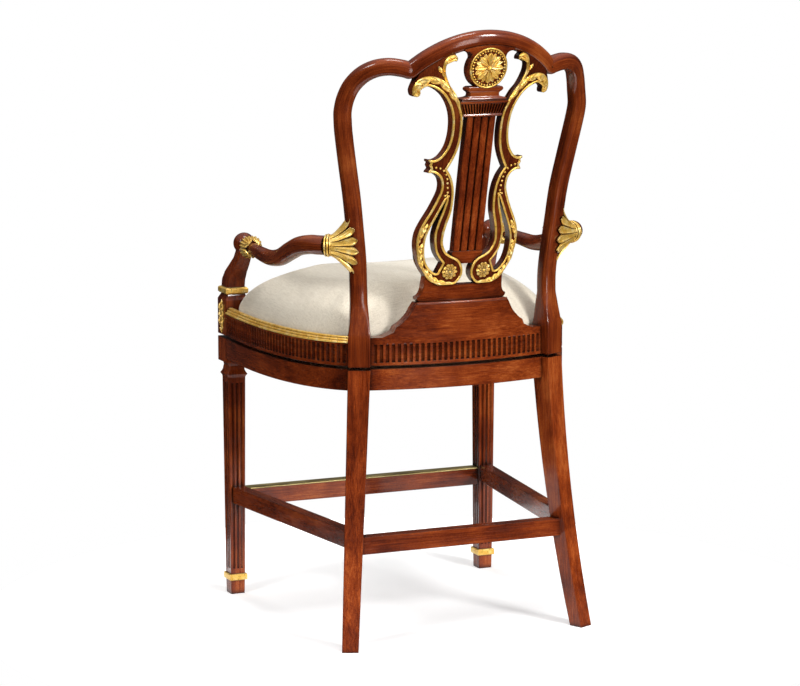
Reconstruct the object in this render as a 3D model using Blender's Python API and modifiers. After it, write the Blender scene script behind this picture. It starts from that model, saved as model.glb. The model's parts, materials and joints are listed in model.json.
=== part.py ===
"""Neoclassical counter chair: a carved lyre-back armchair whose seat swivels on a four-legged base.

Metres, +Z up, +X to the sitter's left, and the chair faces -Y. The base is modelled from the floor up
and the seat from the underside of its rails up, both about the swivel's axis.
"""

import math

import bmesh
import bpy
from mathutils import Matrix, Vector

# Fits
CLEARANCE = 0.0003
RUNNING_CLEARANCE = 0.0006

# Plan of the frame, from the swivel's axis
FRONT_LEG_X = 0.273
FRONT_LEG_Y = -0.231
BACK_POST_X = 0.194
BACK_POST_Y = 0.220
BACK_POST_TURN = math.radians(24)
BACK_POST_WIDTH = 0.042
BACK_POST_DEPTH = 0.040
BLOCK_WIDTH = 0.048
RAIL_THICKNESS = 0.024
FRONT_RAIL_SETBACK = 0.003
FRONT_RAIL_BOW = 0.016
SIDE_RAIL_BULGE = 0.012
BACK_RAIL_FACE = 0.0365
BACK_RAIL_RADIUS = 0.615
SIDE_RAIL_SEAT = 0.0046
SIDE_RAIL_FRONT_PULL = 0.417
SIDE_RAIL_BACK_PULL = 0.17

# Heights of the base
BASE_TOP = 0.519
SWIVEL_GAP = 0.006
BASE_RAIL_HEIGHT = 0.040
BASE_BLOCK_HEIGHT = 0.0484
NECK_HEIGHT = 0.0125
COLLAR_HEIGHT = 0.019

# Legs
LEG_TOP_WIDTH = 0.0355
LEG_ANKLE_WIDTH = 0.0300
FOOT_WIDTH = 0.0285
NECK_WIDTH = 0.0310
COLLAR_WIDTH = 0.0425
LEG_FLUTES = 3
LEG_FLUTE_RADIUS = 0.0026
LEG_FLUTE_STOP = 0.011
FOOT_BAND_BOTTOM = 0.028
FOOT_BAND_HEIGHT = 0.013
FOOT_BAND_REACH = 0.0030
BAND_EASE = 0.5
ARRIS = 0.0010
BACK_FOOT_SPLAY = 0.0456
BACK_FOOT_RAKE = 0.0627
BACK_FOOT_WIDTH = 0.031
BACK_FOOT_DEPTH = 0.029
BACK_LEG_SPLAY_BEND = 0.43
BACK_LEG_RAKE_BEND = 0.73

# Stretchers
STRETCHER_HEIGHT = 0.033
STRETCHER_THICKNESS = 0.024
FRONT_STRETCHER_BOTTOM = 0.178
SIDE_STRETCHER_BOTTOM = 0.186
BACK_STRETCHER_BOTTOM = 0.175
BRASS_THICKNESS = 0.0025
BRASS_OVERHANG = 0.0008

# Swivel
SWIVEL_PLATE_WIDTH = 0.170
SWIVEL_PLATE_CORNER = 0.012
SWIVEL_PLATE_THICKNESS = 0.003
SWIVEL_DROP = 0.012
BEARER_WIDTH = 0.050
BEARER_SPACING = 0.110
BEARER_HEIGHT = 0.0215
BALL_COUNT = 8
BALL_CIRCLE_RADIUS = 0.056
BALL_CAGE_WIDTH = 0.012
BALL_CAGE_THICKNESS = 0.002
PIVOT_RADIUS = 0.012
PIVOT_WALL = 0.003
PIVOT_FLANGE = 0.006
PIVOT_FLANGE_THICKNESS = 0.002

# Seat rails and what sits on them, from the underside of the seat rails
SEAT_RAIL_HEIGHT = 0.043
RAIL_FLUTE_PITCH = 0.0112
RAIL_FLUTE_RADIUS = 0.0036
RAIL_FLUTE_BOTTOM = 0.006
RAIL_FLUTE_TOP = 0.0395
RAIL_FLUTE_MARGIN = 0.008
MOULDING_HEIGHT = 0.0122
MOULDING_WIDTH = 0.0155
MOULDING_OVERHANG = 0.0022
DECK_THICKNESS = 0.018
CUSHION_CROWN = 0.100
CUSHION_GAP = 0.0012
CUSHION_POST_GAP = 0.004

# Arm posts and arms
ARM_BLOCK_HEIGHT = 0.081
POST_BAND_HEIGHT = 0.013
POST_BAND_REACH = 0.005
POST_FOOT_WIDTH = 0.036
POST_TOP_WIDTH = 0.026
ORNAMENT_LENGTH = 0.066
ORNAMENT_WIDTH = 0.020
ORNAMENT_HEIGHT = 0.0045
ORNAMENT_POINTING = 0.4
KNOB_RADIUS = 0.0210
KNOB_INSET = 0.006
KNOB_SWEEP = 0.047
KNOB_HEIGHT = 0.185
COLLAR_OUT = 0.053
COLLAR_FORWARD = 0.0175
COLLAR_RISE = 0.0415
ARM_END_RADIUS = 0.0180
FAN_HALF_HEIGHT = 0.052
FAN_LEAVES = 12
FAN_TIP = 0.14
FAN_LAG = 0.24
LEAF_CUP_LEAVES = 6
LEAF_CUP_LENGTH = 0.030
LEAF_CUP_NECK = 0.0150
LEAF_CUP_STAND_OFF = 2.2
LEAF_THICKNESS = 0.0028
LEAF_VALLEY = 0.06
LEAF_MOUTH = 0.6

# Back: the stiles and the crest, from the underside of the seat rails
STILE_WIDTH = 0.033
STILE_DEPTH = 0.030
STILE_BLOCK_HEIGHT = 0.058
STILE_JOINT_HEIGHT = 0.460
CREST_TOP = 0.625
CREST_HEIGHT = 0.031
CREST_DEPTH = 0.028
CREST_HALF_SPAN = 0.1414
CREST_RISE = 0.060
CREST_BITE = 0.006
CREST_STEPS = 8
SHOULDER_RISE = 0.0105

# Rear face of the splat: raked, and elliptical in plan
BACK_FACE_Y = 0.0528
BACK_FACE_FROM = 0.175
BACK_RAKE = 0.215
BACK_RAKE_CURVE = 0.06
BACK_BOW_DEPTH = 0.125
BACK_BOW_MARGIN = 0.007
BEND_STEP = 0.024
SLOPE_STEP = 0.001

# Splat
PANEL_TOP = 0.1163
PANEL_HALF_WIDTH = 0.0922
PANEL_COVE_WIDTH = 0.062
PANEL_END_HEIGHT = 0.053
PANEL_LEAN = 0.075
PLINTH_HEIGHT = 0.0318
PLINTH_HALF_WIDTH = 0.080
PLINTH_FLARE = 0.0105
PLINTH_CHEEK = 0.022
SCROLL_THICKNESS = 0.020
SPLAT_FRONT = 0.024
PLINTH_SETBACK = 0.003
COLUMN_WIDTH = 0.060
COLUMN_THICKNESS = 0.017
COLUMN_SETBACK = 0.005
COLUMN_GROOVES = 3
COLUMN_GROOVE_WIDTH = 0.005
COLUMN_GROOVE_DEPTH = 0.003
YOKE_BEAD_HEIGHT = 0.0088
YOKE_BEAD_HALF_WIDTH = 0.0395
YOKE_SETBACK = 0.003
CAPITAL_HEIGHT = 0.027
CAPITAL_HALF_WIDTH = 0.0385
CAPITAL_FLARE = 0.0085
CAPITAL_FLUTES = 13
CAPITAL_FLUTE_RADIUS = 0.0017
CAPITAL_SETBACK = 0.001
ABACUS_HEIGHT = 0.0105
ABACUS_STEP = 0.004
NECK_BLOCK_HALF_WIDTH = 0.0285
NECK_BLOCK_HEIGHT = 0.0075
CUP_HALF_WIDTH = 0.0345
CUP_HEIGHT = 0.011
CUP_LIP = 0.001
MEDALLION_RADIUS = 0.038
MEDALLION_PROUD = 0.002
MEDALLION_EAR = 0.0464
MEDALLION_EAR_WAIST = 0.0365
PATERA_RADIUS = 0.0355
PATERA_HEIGHT = 0.0065
PATERA_PETALS = 12
ROSETTE_RADIUS = 0.0155
ROSETTE_HEIGHT = 0.0055
ROSETTE_PETALS = 10
DRAWN_SCROLL_HEIGHT = 0.4185

# The lyre scroll is drawn in millimetres from the middle of its foot, outer edge first, as runs
# that meet at corners. Its top runs along the underside of the crest.
SCROLL_CURL = ((132, 388), (137, 373.5), (134, 361), (126.5, 357), (121.5, 366.5))
SCROLL_WAIST = (
    (121.5, 366.5), (108, 376), (92, 369.5), (77, 356.5), (65, 336.5), (58.5, 313.5),
    (57.5, 286.5), (62, 263.5), (72, 246.5), (84, 239), (95.5, 240.5),
)
SCROLL_CUSP = ((91.2, 234), (92.8, 228.2), (89.8, 222.2))
SCROLL_BODY = (
    (94, 214.5), (82, 214), (71.5, 206.5), (66.5, 193.5), (67, 179.5), (73, 162.5), (82, 142.5),
    (92.5, 122.5), (100.5, 102.5), (102.5, 82.5), (99.5, 61.5), (93, 41.5), (83, 23.5), (67, 7),
    (46, -1.5), (23, 0.5), (10.5, 13.5), (8, 27.5), (13, 41.5), (21.5, 50), (32, 55),
)
SCROLL_STRAND = (
    (32, 55), (44, 63.5), (51.5, 78.5), (52, 94.5), (48.5, 114.5), (42, 138.5), (40, 162.5),
    (42, 185.5), (48.5, 205.5), (58, 220.5),
)
SCROLL_NECK = (
    (58, 220.5), (47, 242.5), (40, 265.5), (37.8, 292.5), (39.8, 319.5), (47, 339.5), (57.5, 356.5),
    (69, 373.5), (78.5, 393.5), (81, 409), (77.3, 420), (70, 425), (62.5, 421.6),
)
SCROLL_TIP = (61.5, 429)
SCROLL_TOP = (70, 126)
SLOT_OUTER = (
    (53, 165.5), (59.5, 152.5), (70, 129.5), (81, 105.5), (86, 85.5), (85.5, 61.5), (79, 40.5),
    (64.5, 25), (56.5, 24.5),
)
SLOT_INNER = (
    (49.5, 42.5), (58.5, 53.5), (66, 68.5), (70, 94.5), (66, 118.5), (58.5, 142.5), (53, 165.5),
)
ROSETTE_CENTRE = (34.5, 25.5)
YOKE_FOOT = (0, 40)

# The side of the back panel: shares of its reach and its height, from the splat's ledge down to the
# rail, with a nose between two coves.
PANEL_SIDE = (
    (0.00, 1.00), (0.10, 0.84), (0.22, 0.63), (0.42, 0.42), (0.60, 0.30), (0.67, 0.15), (0.84, 0.07),
    (1.00, 0.00),
)

# The arm between its ball and its collar: share of the way, then how far it strays out and up from
# the straight line, then its radius.
ARM_COURSE = (
    (0.190, 0.0097, -0.0104, 0.0118),
    (0.319, 0.0150, -0.0187, 0.0135),
    (0.448, 0.0173, -0.0251, 0.0150),
    (0.576, 0.0191, -0.0229, 0.0165),
    (0.700, 0.0204, -0.0111, 0.0176),
    (0.816, 0.0210, -0.0009, 0.0178),
    (0.911, 0.0158, 0.0022, 0.0180),
    (0.962, 0.0095, 0.0012, 0.0180),
)

# The stile: height, then how far it has moved out and back from the post's middle.
STILE_COURSE = (
    (0.000, 0.0000, 0.0000),
    (0.058, 0.0000, 0.0000),
    (0.100, -0.0005, -0.0025),
    (0.150, 0.0000, -0.0040),
    (0.195, 0.0030, -0.0005),
    (0.255, 0.0100, 0.0035),
    (0.315, 0.0175, 0.0071),
    (0.375, 0.0285, 0.0138),
    (0.435, 0.0396, 0.0223),
    (0.460, 0.0432, 0.0268),
)

# The shoulder, from the stile's top to the end of the crest: shares of its run in, up and back.
SHOULDER_COURSE = (
    (0.000, 0.00, 0.000),
    (-0.010, 0.17, 0.030),
    (0.030, 0.405, 0.083),
    (0.110, 0.64, 0.223),
    (0.245, 0.84, 0.448),
    (0.430, 0.96, 0.663),
    (0.650, 1.00, 0.835),
    (0.880, 0.97, 0.954),
    (1.000, 0.935, 1.000),
)

SECTION_POINTS = 12
ARM_POINTS = 10
SQUARE_POWER = 24
ROUND_POWER = 3.2

SEAT_BOTTOM = BASE_TOP + SWIVEL_GAP
BLOCK_HALF = BLOCK_WIDTH / 2
SIDES = (("left", 1), ("right", -1))

for old in list(bpy.data.objects):
    bpy.data.objects.remove(old, do_unlink=True)

PARTS = bpy.data.collections.new("neoclassical_counter_chair")
CUTTERS = bpy.data.collections.new("cutters")
bpy.context.scene.collection.children.link(PARTS)
bpy.context.scene.collection.children.link(CUTTERS)
CUTTERS.hide_render = True


def finish(name, colour, roughness, metallic):
    material = bpy.data.materials.new(name)
    material.use_nodes = True
    shader = material.node_tree.nodes["Principled BSDF"]
    shader.inputs["Base Color"].default_value = (*colour, 1)
    shader.inputs["Roughness"].default_value = roughness
    shader.inputs["Metallic"].default_value = metallic
    return material


FINISHES = {
    "mahogany": finish("mahogany", (0.115, 0.024, 0.011), 0.25, 0),
    "gilt": finish("gilt", (0.72, 0.45, 0.11), 0.32, 1),
    "brass": finish("brass", (0.40, 0.33, 0.14), 0.35, 1),
    "linen": finish("linen", (0.62, 0.58, 0.51), 0.9, 0),
    "steel": finish("steel", (0.45, 0.45, 0.46), 0.4, 1),
    "softwood": finish("softwood", (0.48, 0.33, 0.19), 0.7, 0),
}


def curve_through(points, steps):
    """A smooth run through the points, with this many pieces between each two of them."""
    ends = [points[0], *points, points[-1]]
    run = []
    for before, start, stop, after in zip(ends, ends[1:], ends[2:], ends[3:]):
        for step in range(steps):
            share = step / steps
            run.append(
                tuple(
                    0.5 * (2 * b + (c - a) * share + (2 * a - 5 * b + 4 * c - d) * share**2
                           + (3 * b - a - 3 * c + d) * share**3)
                    for a, b, c, d in zip(before, start, stop, after)
                )
            )
    return run + [tuple(points[-1])]


def blend(start, stop, share):
    return start + (stop - start) * share


def read_run(run, value):
    """The rest of a row of the run, at this value of its first column."""
    for low, high in zip(run, run[1:]):
        if value <= high[0]:
            break
    share = (value - low[0]) / (high[0] - low[0])
    return [blend(a, b, share) for a, b in zip(low[1:], high[1:])]


def section(width, depth, power, count):
    """A rounded section: a high power makes it square, and 2 makes it an ellipse."""
    points = []
    for step in range(count):
        cos = round(math.cos(2 * math.pi * step / count), 9)
        sin = round(math.sin(2 * math.pi * step / count), 9)
        across = math.copysign(abs(cos) ** (2 / power), cos) * width / 2
        through = math.copysign(abs(sin) ** (2 / power), sin) * depth / 2
        points.append((across, through))
    return points


def square_ring(centre, half, chamfer=ARRIS, turn=0.0, half_depth=None):
    """A level square or oblong with its arrises eased, turned about its middle."""
    deep = half if half_depth is None else half_depth
    corners = []
    for sx, sy in ((1, 1), (-1, 1), (-1, -1), (1, -1)):
        along_x = (sx * (half - chamfer), sy * deep)
        along_y = (sx * half, sy * (deep - chamfer))
        corners += [along_y, along_x] if sx * sy > 0 else [along_x, along_y]
    cos, sin = math.cos(turn), math.sin(turn)
    return [centre + Vector((x * cos + y * sin, y * cos - x * sin, 0)) for x, y in corners]


def face_out(shape):
    bmesh.ops.recalc_face_normals(shape, faces=shape.faces)
    if shape.calc_volume(signed=True) < 0:
        bmesh.ops.reverse_faces(shape, faces=shape.faces)


def skin(rings):
    """A closed body over rings of points, each with as many points as the next."""
    shape = bmesh.new()
    loops = [[shape.verts.new(point) for point in ring] for ring in rings]
    count = len(loops[0])
    for low, high in zip(loops, loops[1:]):
        for here in range(count):
            there = (here + 1) % count
            shape.faces.new((low[here], low[there], high[there], high[here]))
    shape.faces.new(loops[0][::-1])
    shape.faces.new(loops[-1])
    face_out(shape)
    return shape


def sweep(path, normals, sections):
    """Rings of the given sections along a path, each with its depth towards its normal."""
    rings = []
    for place, centre in enumerate(path):
        before = path[max(place - 1, 0)]
        after = path[min(place + 1, len(path) - 1)]
        along = (after - before).normalized()
        through = (normals[place] - along * normals[place].dot(along)).normalized()
        across = along.cross(through)
        rings.append([centre + across * a + through * b for a, b in sections[place]])
    return rings


def slide_to_plane(ring, along, point, normal):
    """Moves a ring's points along a direction until they lie on a plane."""
    return [p + along * ((point - p).dot(normal) / along.dot(normal)) for p in ring]


def trim(shape, point, normal):
    """Takes off what lies beyond a plane, and closes the cut."""
    found = bmesh.ops.bisect_plane(
        shape, geom=[*shape.verts, *shape.edges, *shape.faces], dist=CLEARANCE / 100,
        plane_co=point, plane_no=normal, clear_outer=True,
    )
    edges = [piece for piece in found["geom_cut"] if isinstance(piece, bmesh.types.BMEdge)]
    bmesh.ops.edgenet_fill(shape, edges=edges)
    face_out(shape)
    return shape


def plate(outlines, bottom, top):
    """A flat piece from closed outlines, the first one outside and the others its holes."""
    curve = bpy.data.curves.new("outline", "CURVE")
    curve.dimensions = "2D"
    curve.fill_mode = "BOTH"
    curve.extrude = (top - bottom) / 2
    for outline in outlines:
        spline = curve.splines.new("POLY")
        spline.points.add(len(outline) - 1)
        for point, place in zip(spline.points, outline):
            point.co = (place[0], place[1], 0, 1)
        spline.use_cyclic_u = True
    guide = bpy.data.objects.new("outline", curve)
    PARTS.objects.link(guide)
    bpy.context.view_layer.update()
    graph = bpy.context.evaluated_depsgraph_get()
    mesh = bpy.data.meshes.new_from_object(guide.evaluated_get(graph))
    bpy.data.objects.remove(guide, do_unlink=True)
    shape = bmesh.new()
    shape.from_mesh(mesh)
    bpy.data.meshes.remove(mesh)
    bmesh.ops.remove_doubles(shape, verts=shape.verts, dist=CLEARANCE / 100)
    bmesh.ops.translate(shape, verts=shape.verts, vec=(0, 0, (top + bottom) / 2))
    face_out(shape)
    return shape


def box(low, high):
    shape = bmesh.new()
    middle = (Vector(low) + Vector(high)) / 2
    size = Vector(high) - Vector(low)
    bmesh.ops.create_cube(shape, size=1, matrix=Matrix.LocRotScale(middle, None, size))
    return shape


def rods(ends, radius, count):
    """Separate straight rods between pairs of points, as one cutter."""
    shape = bmesh.new()
    for start, stop in ends:
        along = stop - start
        turn = along.to_track_quat("Z", "Y").to_matrix().to_4x4()
        place = Matrix.Translation((start + stop) / 2) @ turn
        bmesh.ops.create_cone(
            shape, cap_ends=True, segments=count, radius1=radius, radius2=radius,
            depth=along.length, matrix=place,
        )
    return shape


def add(name, shape, colour, body):
    mesh = bpy.data.meshes.new(name)
    shape.to_mesh(mesh)
    shape.free()
    mesh.materials.append(FINISHES[colour])
    mesh.shade_smooth()
    mesh.set_sharp_from_angle(angle=math.radians(32))
    piece = bpy.data.objects.new(name, mesh)
    PARTS.objects.link(piece)
    piece.parent = body
    return piece


def cutter(name, shape, body):
    mesh = bpy.data.meshes.new(name)
    shape.to_mesh(mesh)
    shape.free()
    tool = bpy.data.objects.new(name, mesh)
    CUTTERS.objects.link(tool)
    tool.parent = body
    tool.hide_render = True
    tool.display_type = "WIRE"
    return tool


def cut(piece, tool, operation="DIFFERENCE"):
    modifier = piece.modifiers.new(tool.name, "BOOLEAN")
    modifier.operation = operation
    modifier.solver = "EXACT"
    modifier.object = tool


def mirrored(points, side):
    return [Vector((side * p[0], *p[1:])) for p in points]


# Plan of the rails, on the sitter's left


def post_axes():
    """Directions across and out through the back of the left back post."""
    cos, sin = math.cos(BACK_POST_TURN), math.sin(BACK_POST_TURN)
    return Vector((cos, -sin)), Vector((sin, cos))


def post_point(across, through):
    side, back = post_axes()
    return Vector((BACK_POST_X, BACK_POST_Y)) + side * across + back * through


def side_curve(count, inset=0.0):
    """Points along the outer face of the left rails, from the front block to the back post."""
    start = Vector((FRONT_LEG_X + BLOCK_HALF, FRONT_LEG_Y + BLOCK_HALF))
    stop = post_point(BACK_POST_WIDTH / 2, SIDE_RAIL_SEAT)
    run = stop - start
    first = start + Vector((SIDE_RAIL_BULGE, run.y * SIDE_RAIL_FRONT_PULL))
    second = stop - Vector((run.x, run.y * SIDE_RAIL_BACK_PULL))
    points = []
    for step in range(count + 1):
        t = step / count
        u = 1 - t
        place = start * u**3 + first * 3 * u * u * t + second * 3 * u * t * t + stop * t**3
        slope = (first - start) * u * u + (second - first) * 2 * u * t + (stop - second) * t * t
        inward = Vector((-slope.y, slope.x)).normalized()
        points.append(place + inward * inset)
    return points


def front_face(x, inset=0.0):
    ends = FRONT_LEG_Y - BLOCK_HALF + FRONT_RAIL_SETBACK
    reach = FRONT_LEG_X - BLOCK_HALF
    return ends - FRONT_RAIL_BOW * (1 - (x / reach) ** 2) + inset


def back_rail_face(x, inset=0.0):
    return BACK_POST_Y + BACK_RAIL_FACE - x * x / (2 * BACK_RAIL_RADIUS) - inset


def clip(outline, point, normal):
    """The part of an outline on the side of a line that its normal points to."""
    kept = []
    for here, there in zip(outline, outline[1:] + outline[:1]):
        near = (here - point).dot(normal)
        far = (there - point).dot(normal)
        if near >= 0:
            kept.append(here)
        if (near > 0 > far) or (near < 0 < far):
            kept.append(here + (there - here) * (near / (near - far)))
    return kept


def side_rail_outline():
    outer = side_curve(14)
    inner = side_curve(14, RAIL_THICKNESS)
    lead = Vector((0, -BLOCK_HALF))
    tail = (outer[-1] - outer[-2]).normalized() * BACK_POST_WIDTH / 2
    ribbon = [outer[0] + lead, *outer, outer[-1] + tail]
    ribbon += [inner[-1] + tail, *inner[::-1], inner[0] + lead]
    across, _ = post_axes()
    ribbon = clip(ribbon, outer[0] + Vector((0, CLEARANCE)), Vector((0, 1)))
    return clip(ribbon, post_point(BACK_POST_WIDTH / 2 + CLEARANCE, 0), across)


def front_rail_outline():
    reach = FRONT_LEG_X - BLOCK_HALF - CLEARANCE
    stops = [reach * (step / 6 - 1) for step in range(13)]
    outer = [Vector((x, front_face(x))) for x in stops]
    inner = [Vector((x, front_face(x, RAIL_THICKNESS))) for x in stops]
    return outer + inner[::-1]


def back_rail_outline():
    across, _ = post_axes()
    stops = [BACK_POST_X * (step / 8 - 1) for step in range(17)]
    outer = [Vector((x, back_rail_face(x))) for x in stops]
    inner = [Vector((x, back_rail_face(x, RAIL_THICKNESS))) for x in stops]
    ribbon = outer + inner[::-1]
    gate = post_point(-BACK_POST_WIDTH / 2 - CLEARANCE, 0)
    ribbon = clip(ribbon, gate, -across)
    return clip(ribbon, Vector((-gate.x, gate.y)), Vector((across.x, -across.y)))


def inner_side_x(y):
    """X of the left rails' inner face at this depth."""
    run = [(point.y, point.x) for point in side_curve(40, RAIL_THICKNESS)]
    return read_run(run, y)[0]


def flip(outline, side):
    return [Vector((side * p.x, p.y)) for p in outline]


# Base


def front_leg_profile():
    """Heights and half widths of a front leg, from the floor up."""
    block = BASE_TOP - BASE_BLOCK_HEIGHT
    collar = block - NECK_HEIGHT
    shaft = collar - COLLAR_HEIGHT
    band = FOOT_BAND_BOTTOM + FOOT_BAND_HEIGHT
    return (
        (0.0, FOOT_WIDTH / 2),
        (band, LEG_ANKLE_WIDTH / 2),
        (shaft, LEG_TOP_WIDTH / 2),
        (shaft + COLLAR_HEIGHT * 0.15, LEG_TOP_WIDTH / 2 + ARRIS),
        (shaft + COLLAR_HEIGHT * 0.35, COLLAR_WIDTH / 2),
        (shaft + COLLAR_HEIGHT * 0.80, COLLAR_WIDTH / 2),
        (collar, NECK_WIDTH / 2 + ARRIS),
        (collar + NECK_HEIGHT * 0.35, NECK_WIDTH / 2),
        (block - NECK_HEIGHT * 0.15, NECK_WIDTH / 2 + ARRIS),
        (block, BLOCK_HALF - ARRIS),
        (block + ARRIS, BLOCK_HALF),
        (BASE_TOP, BLOCK_HALF),
    )


def front_leg_half(height):
    return read_run(front_leg_profile(), height)[0]


def front_leg_rings(side, grow=0.0):
    place = Vector((side * FRONT_LEG_X, FRONT_LEG_Y, 0))
    return [
        square_ring(place + Vector((0, 0, height)), half + grow)
        for height, half in front_leg_profile()
    ]


def leg_flutes(side):
    """The flutes of a front leg's four faces, from above its foot band to below its collar."""
    low = FOOT_BAND_BOTTOM + FOOT_BAND_HEIGHT + LEG_FLUTE_STOP
    high = BASE_TOP - BASE_BLOCK_HEIGHT - NECK_HEIGHT - COLLAR_HEIGHT - LEG_FLUTE_STOP
    centre = Vector((side * FRONT_LEG_X, FRONT_LEG_Y, 0))
    ends = []
    for face in range(4):
        turn = Matrix.Rotation(face * math.pi / 2, 3, "Z")
        for flute in range(LEG_FLUTES):
            share = (flute + 1) / (LEG_FLUTES + 1) * 2 - 1
            pair = []
            for height in (low, high):
                half = front_leg_half(height)
                pair.append(centre + turn @ Vector((half, half * share * 1.1, height)))
            ends.append(pair)
    return rods(ends, LEG_FLUTE_RADIUS, 6)


def back_leg_centre(height):
    """Middle of the left back leg, which sweeps out and back towards its foot."""
    fall = (BASE_TOP - height) / BASE_TOP
    out = BACK_FOOT_SPLAY * blend(fall, fall**2, BACK_LEG_SPLAY_BEND)
    back = BACK_FOOT_RAKE * blend(fall, fall**2, BACK_LEG_RAKE_BEND)
    return Vector((BACK_POST_X + out, BACK_POST_Y + back, height))


def back_leg_rings(side, grow=0.0):
    rings = []
    for step in range(11):
        height = BASE_TOP * step / 10
        share = height / BASE_TOP
        centre = back_leg_centre(height)
        half = blend(BACK_FOOT_WIDTH, BACK_POST_WIDTH, share) / 2 + grow
        deep = blend(BACK_FOOT_DEPTH, BACK_POST_DEPTH, share) / 2 + grow
        place = Vector((side * centre.x, centre.y, height))
        rings.append(square_ring(place, half, ARRIS, side * BACK_POST_TURN, deep))
    return rings


def square_band(centre, inner, outer, bottom, height):
    """A square band with a rounded outer face, round a leg or a post."""
    shape = bmesh.new()
    ease = min(height, outer - inner) * BAND_EASE
    profile = (
        (inner, bottom),
        (outer - ease, bottom),
        (outer, bottom + ease),
        (outer, bottom + height - ease),
        (outer - ease, bottom + height),
        (inner, bottom + height),
    )
    loops = []
    for reach, level in profile:
        corners = ((1, 1), (-1, 1), (-1, -1), (1, -1))
        loops.append(
            [shape.verts.new((centre.x + x * reach, centre.y + y * reach, level)) for x, y in corners]
        )
    for low, high in zip(loops, loops[1:] + loops[:1]):
        for here in range(4):
            there = (here + 1) % 4
            shape.faces.new((low[here], low[there], high[there], high[here]))
    face_out(shape)
    return shape


def make_legs(base):
    tools = {}
    for word, side in SIDES:
        leg = add(f"front_{word}_leg", skin(front_leg_rings(side)), "mahogany", base)
        cut(leg, cutter(f"front_{word}_leg_flutes", leg_flutes(side), base))
        add(f"back_{word}_leg", skin(back_leg_rings(side)), "mahogany", base)
        for end, rings in (("front", front_leg_rings), ("back", back_leg_rings)):
            name = f"{end}_{word}_leg_seat"
            tools[end, word] = cutter(name, skin(rings(side, CLEARANCE)), base)
        inner = front_leg_half(FOOT_BAND_BOTTOM + FOOT_BAND_HEIGHT) + CLEARANCE
        centre = Vector((side * FRONT_LEG_X, FRONT_LEG_Y))
        band = square_band(
            centre, inner, inner + FOOT_BAND_REACH, FOOT_BAND_BOTTOM, FOOT_BAND_HEIGHT
        )
        add(f"front_{word}_foot_band", band, "gilt", base)
    return tools


def bar_between(start, stop, bottom):
    """A straight stretcher between two points in plan."""
    run = stop - start
    across = Vector((-run.y, run.x)).normalized() * STRETCHER_THICKNESS / 2
    outline = [start + across, start - across, stop - across, stop + across]
    return plate([outline], bottom, bottom + STRETCHER_HEIGHT)


def make_stretchers(base, leg_tools):
    middle = SIDE_STRETCHER_BOTTOM + STRETCHER_HEIGHT / 2
    front = Vector((FRONT_LEG_X, FRONT_LEG_Y))
    side_back = back_leg_centre(middle).xy
    back = back_leg_centre(BACK_STRETCHER_BOTTOM + STRETCHER_HEIGHT / 2).xy
    for word, side in SIDES:
        ends = flip([front, side_back], side)
        bar = add(f"{word}_stretcher", bar_between(*ends, SIDE_STRETCHER_BOTTOM), "mahogany", base)
        cut(bar, leg_tools["front", word])
        cut(bar, leg_tools["back", word])
    rail = bar_between(*[flip([back], side)[0] for _, side in SIDES], BACK_STRETCHER_BOTTOM)
    rail = add("back_stretcher", rail, "mahogany", base)
    rest = bar_between(*[flip([front], side)[0] for _, side in SIDES], FRONT_STRETCHER_BOTTOM)
    rest = add("front_stretcher", rest, "mahogany", base)
    for word, _ in SIDES:
        cut(rail, leg_tools["back", word])
        cut(rest, leg_tools["front", word])
    make_brass_strip(base)


def make_brass_strip(base):
    """The strip that saves the footrest from shoes: flat, with its long edges eased."""
    bottom = FRONT_STRETCHER_BOTTOM + STRETCHER_HEIGHT + CLEARANCE
    reach = FRONT_LEG_X - front_leg_half(bottom) - CLEARANCE
    half = STRETCHER_THICKNESS / 2 + BRASS_OVERHANG
    outline = (
        (half, 0), (half, BRASS_THICKNESS * 0.5), (half - BRASS_THICKNESS * 0.5, BRASS_THICKNESS),
        (BRASS_THICKNESS * 0.5 - half, BRASS_THICKNESS), (-half, BRASS_THICKNESS * 0.5), (-half, 0),
    )
    rings = [
        [Vector((x, FRONT_LEG_Y + y, bottom + z)) for y, z in outline] for x in (-reach, reach)
    ]
    add("footrest_brass_strip", skin(rings), "brass", base)


def make_base_rails(base, leg_tools):
    low = BASE_TOP - BASE_RAIL_HEIGHT
    add("base_front_rail", plate([front_rail_outline()], low, BASE_TOP), "mahogany", base)
    back = add("base_back_rail", plate([back_rail_outline()], low, BASE_TOP), "mahogany", base)
    for word, side in SIDES:
        outline = flip(side_rail_outline(), side)
        rail = add(f"base_{word}_rail", plate([outline], low, BASE_TOP), "mahogany", base)
        cut(rail, leg_tools["back", word])
        cut(back, leg_tools["back", word])


def bearer(y, bottom):
    """A cross rail between the side rails."""
    edges = (y - BEARER_WIDTH / 2, y + BEARER_WIDTH / 2)
    reach = min(inner_side_x(edge) for edge in (*edges, y)) - CLEARANCE
    return box((-reach, edges[0], bottom), (reach, edges[1], bottom + BEARER_HEIGHT))


# Swivel


def circle(radius, count):
    turns = [2 * math.pi * step / count for step in range(count)]
    return [Vector((radius * math.cos(turn), radius * math.sin(turn))) for turn in turns]


def swivel_plate(bottom):
    """A square steel plate with round corners and a hole for the pivot."""
    inner = SWIVEL_PLATE_WIDTH / 2 - SWIVEL_PLATE_CORNER
    outline = []
    for corner, (sx, sy) in enumerate(((1, 1), (-1, 1), (-1, -1), (1, -1))):
        for step in range(4):
            turn = (corner + step / 3) * math.pi / 2
            round_off = Vector((math.cos(turn), math.sin(turn))) * SWIVEL_PLATE_CORNER
            outline.append(Vector((sx * inner, sy * inner)) + round_off)
    hole = circle(PIVOT_RADIUS + RUNNING_CLEARANCE, 16)
    return plate([outline, hole], bottom, bottom + SWIVEL_PLATE_THICKNESS)


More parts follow.
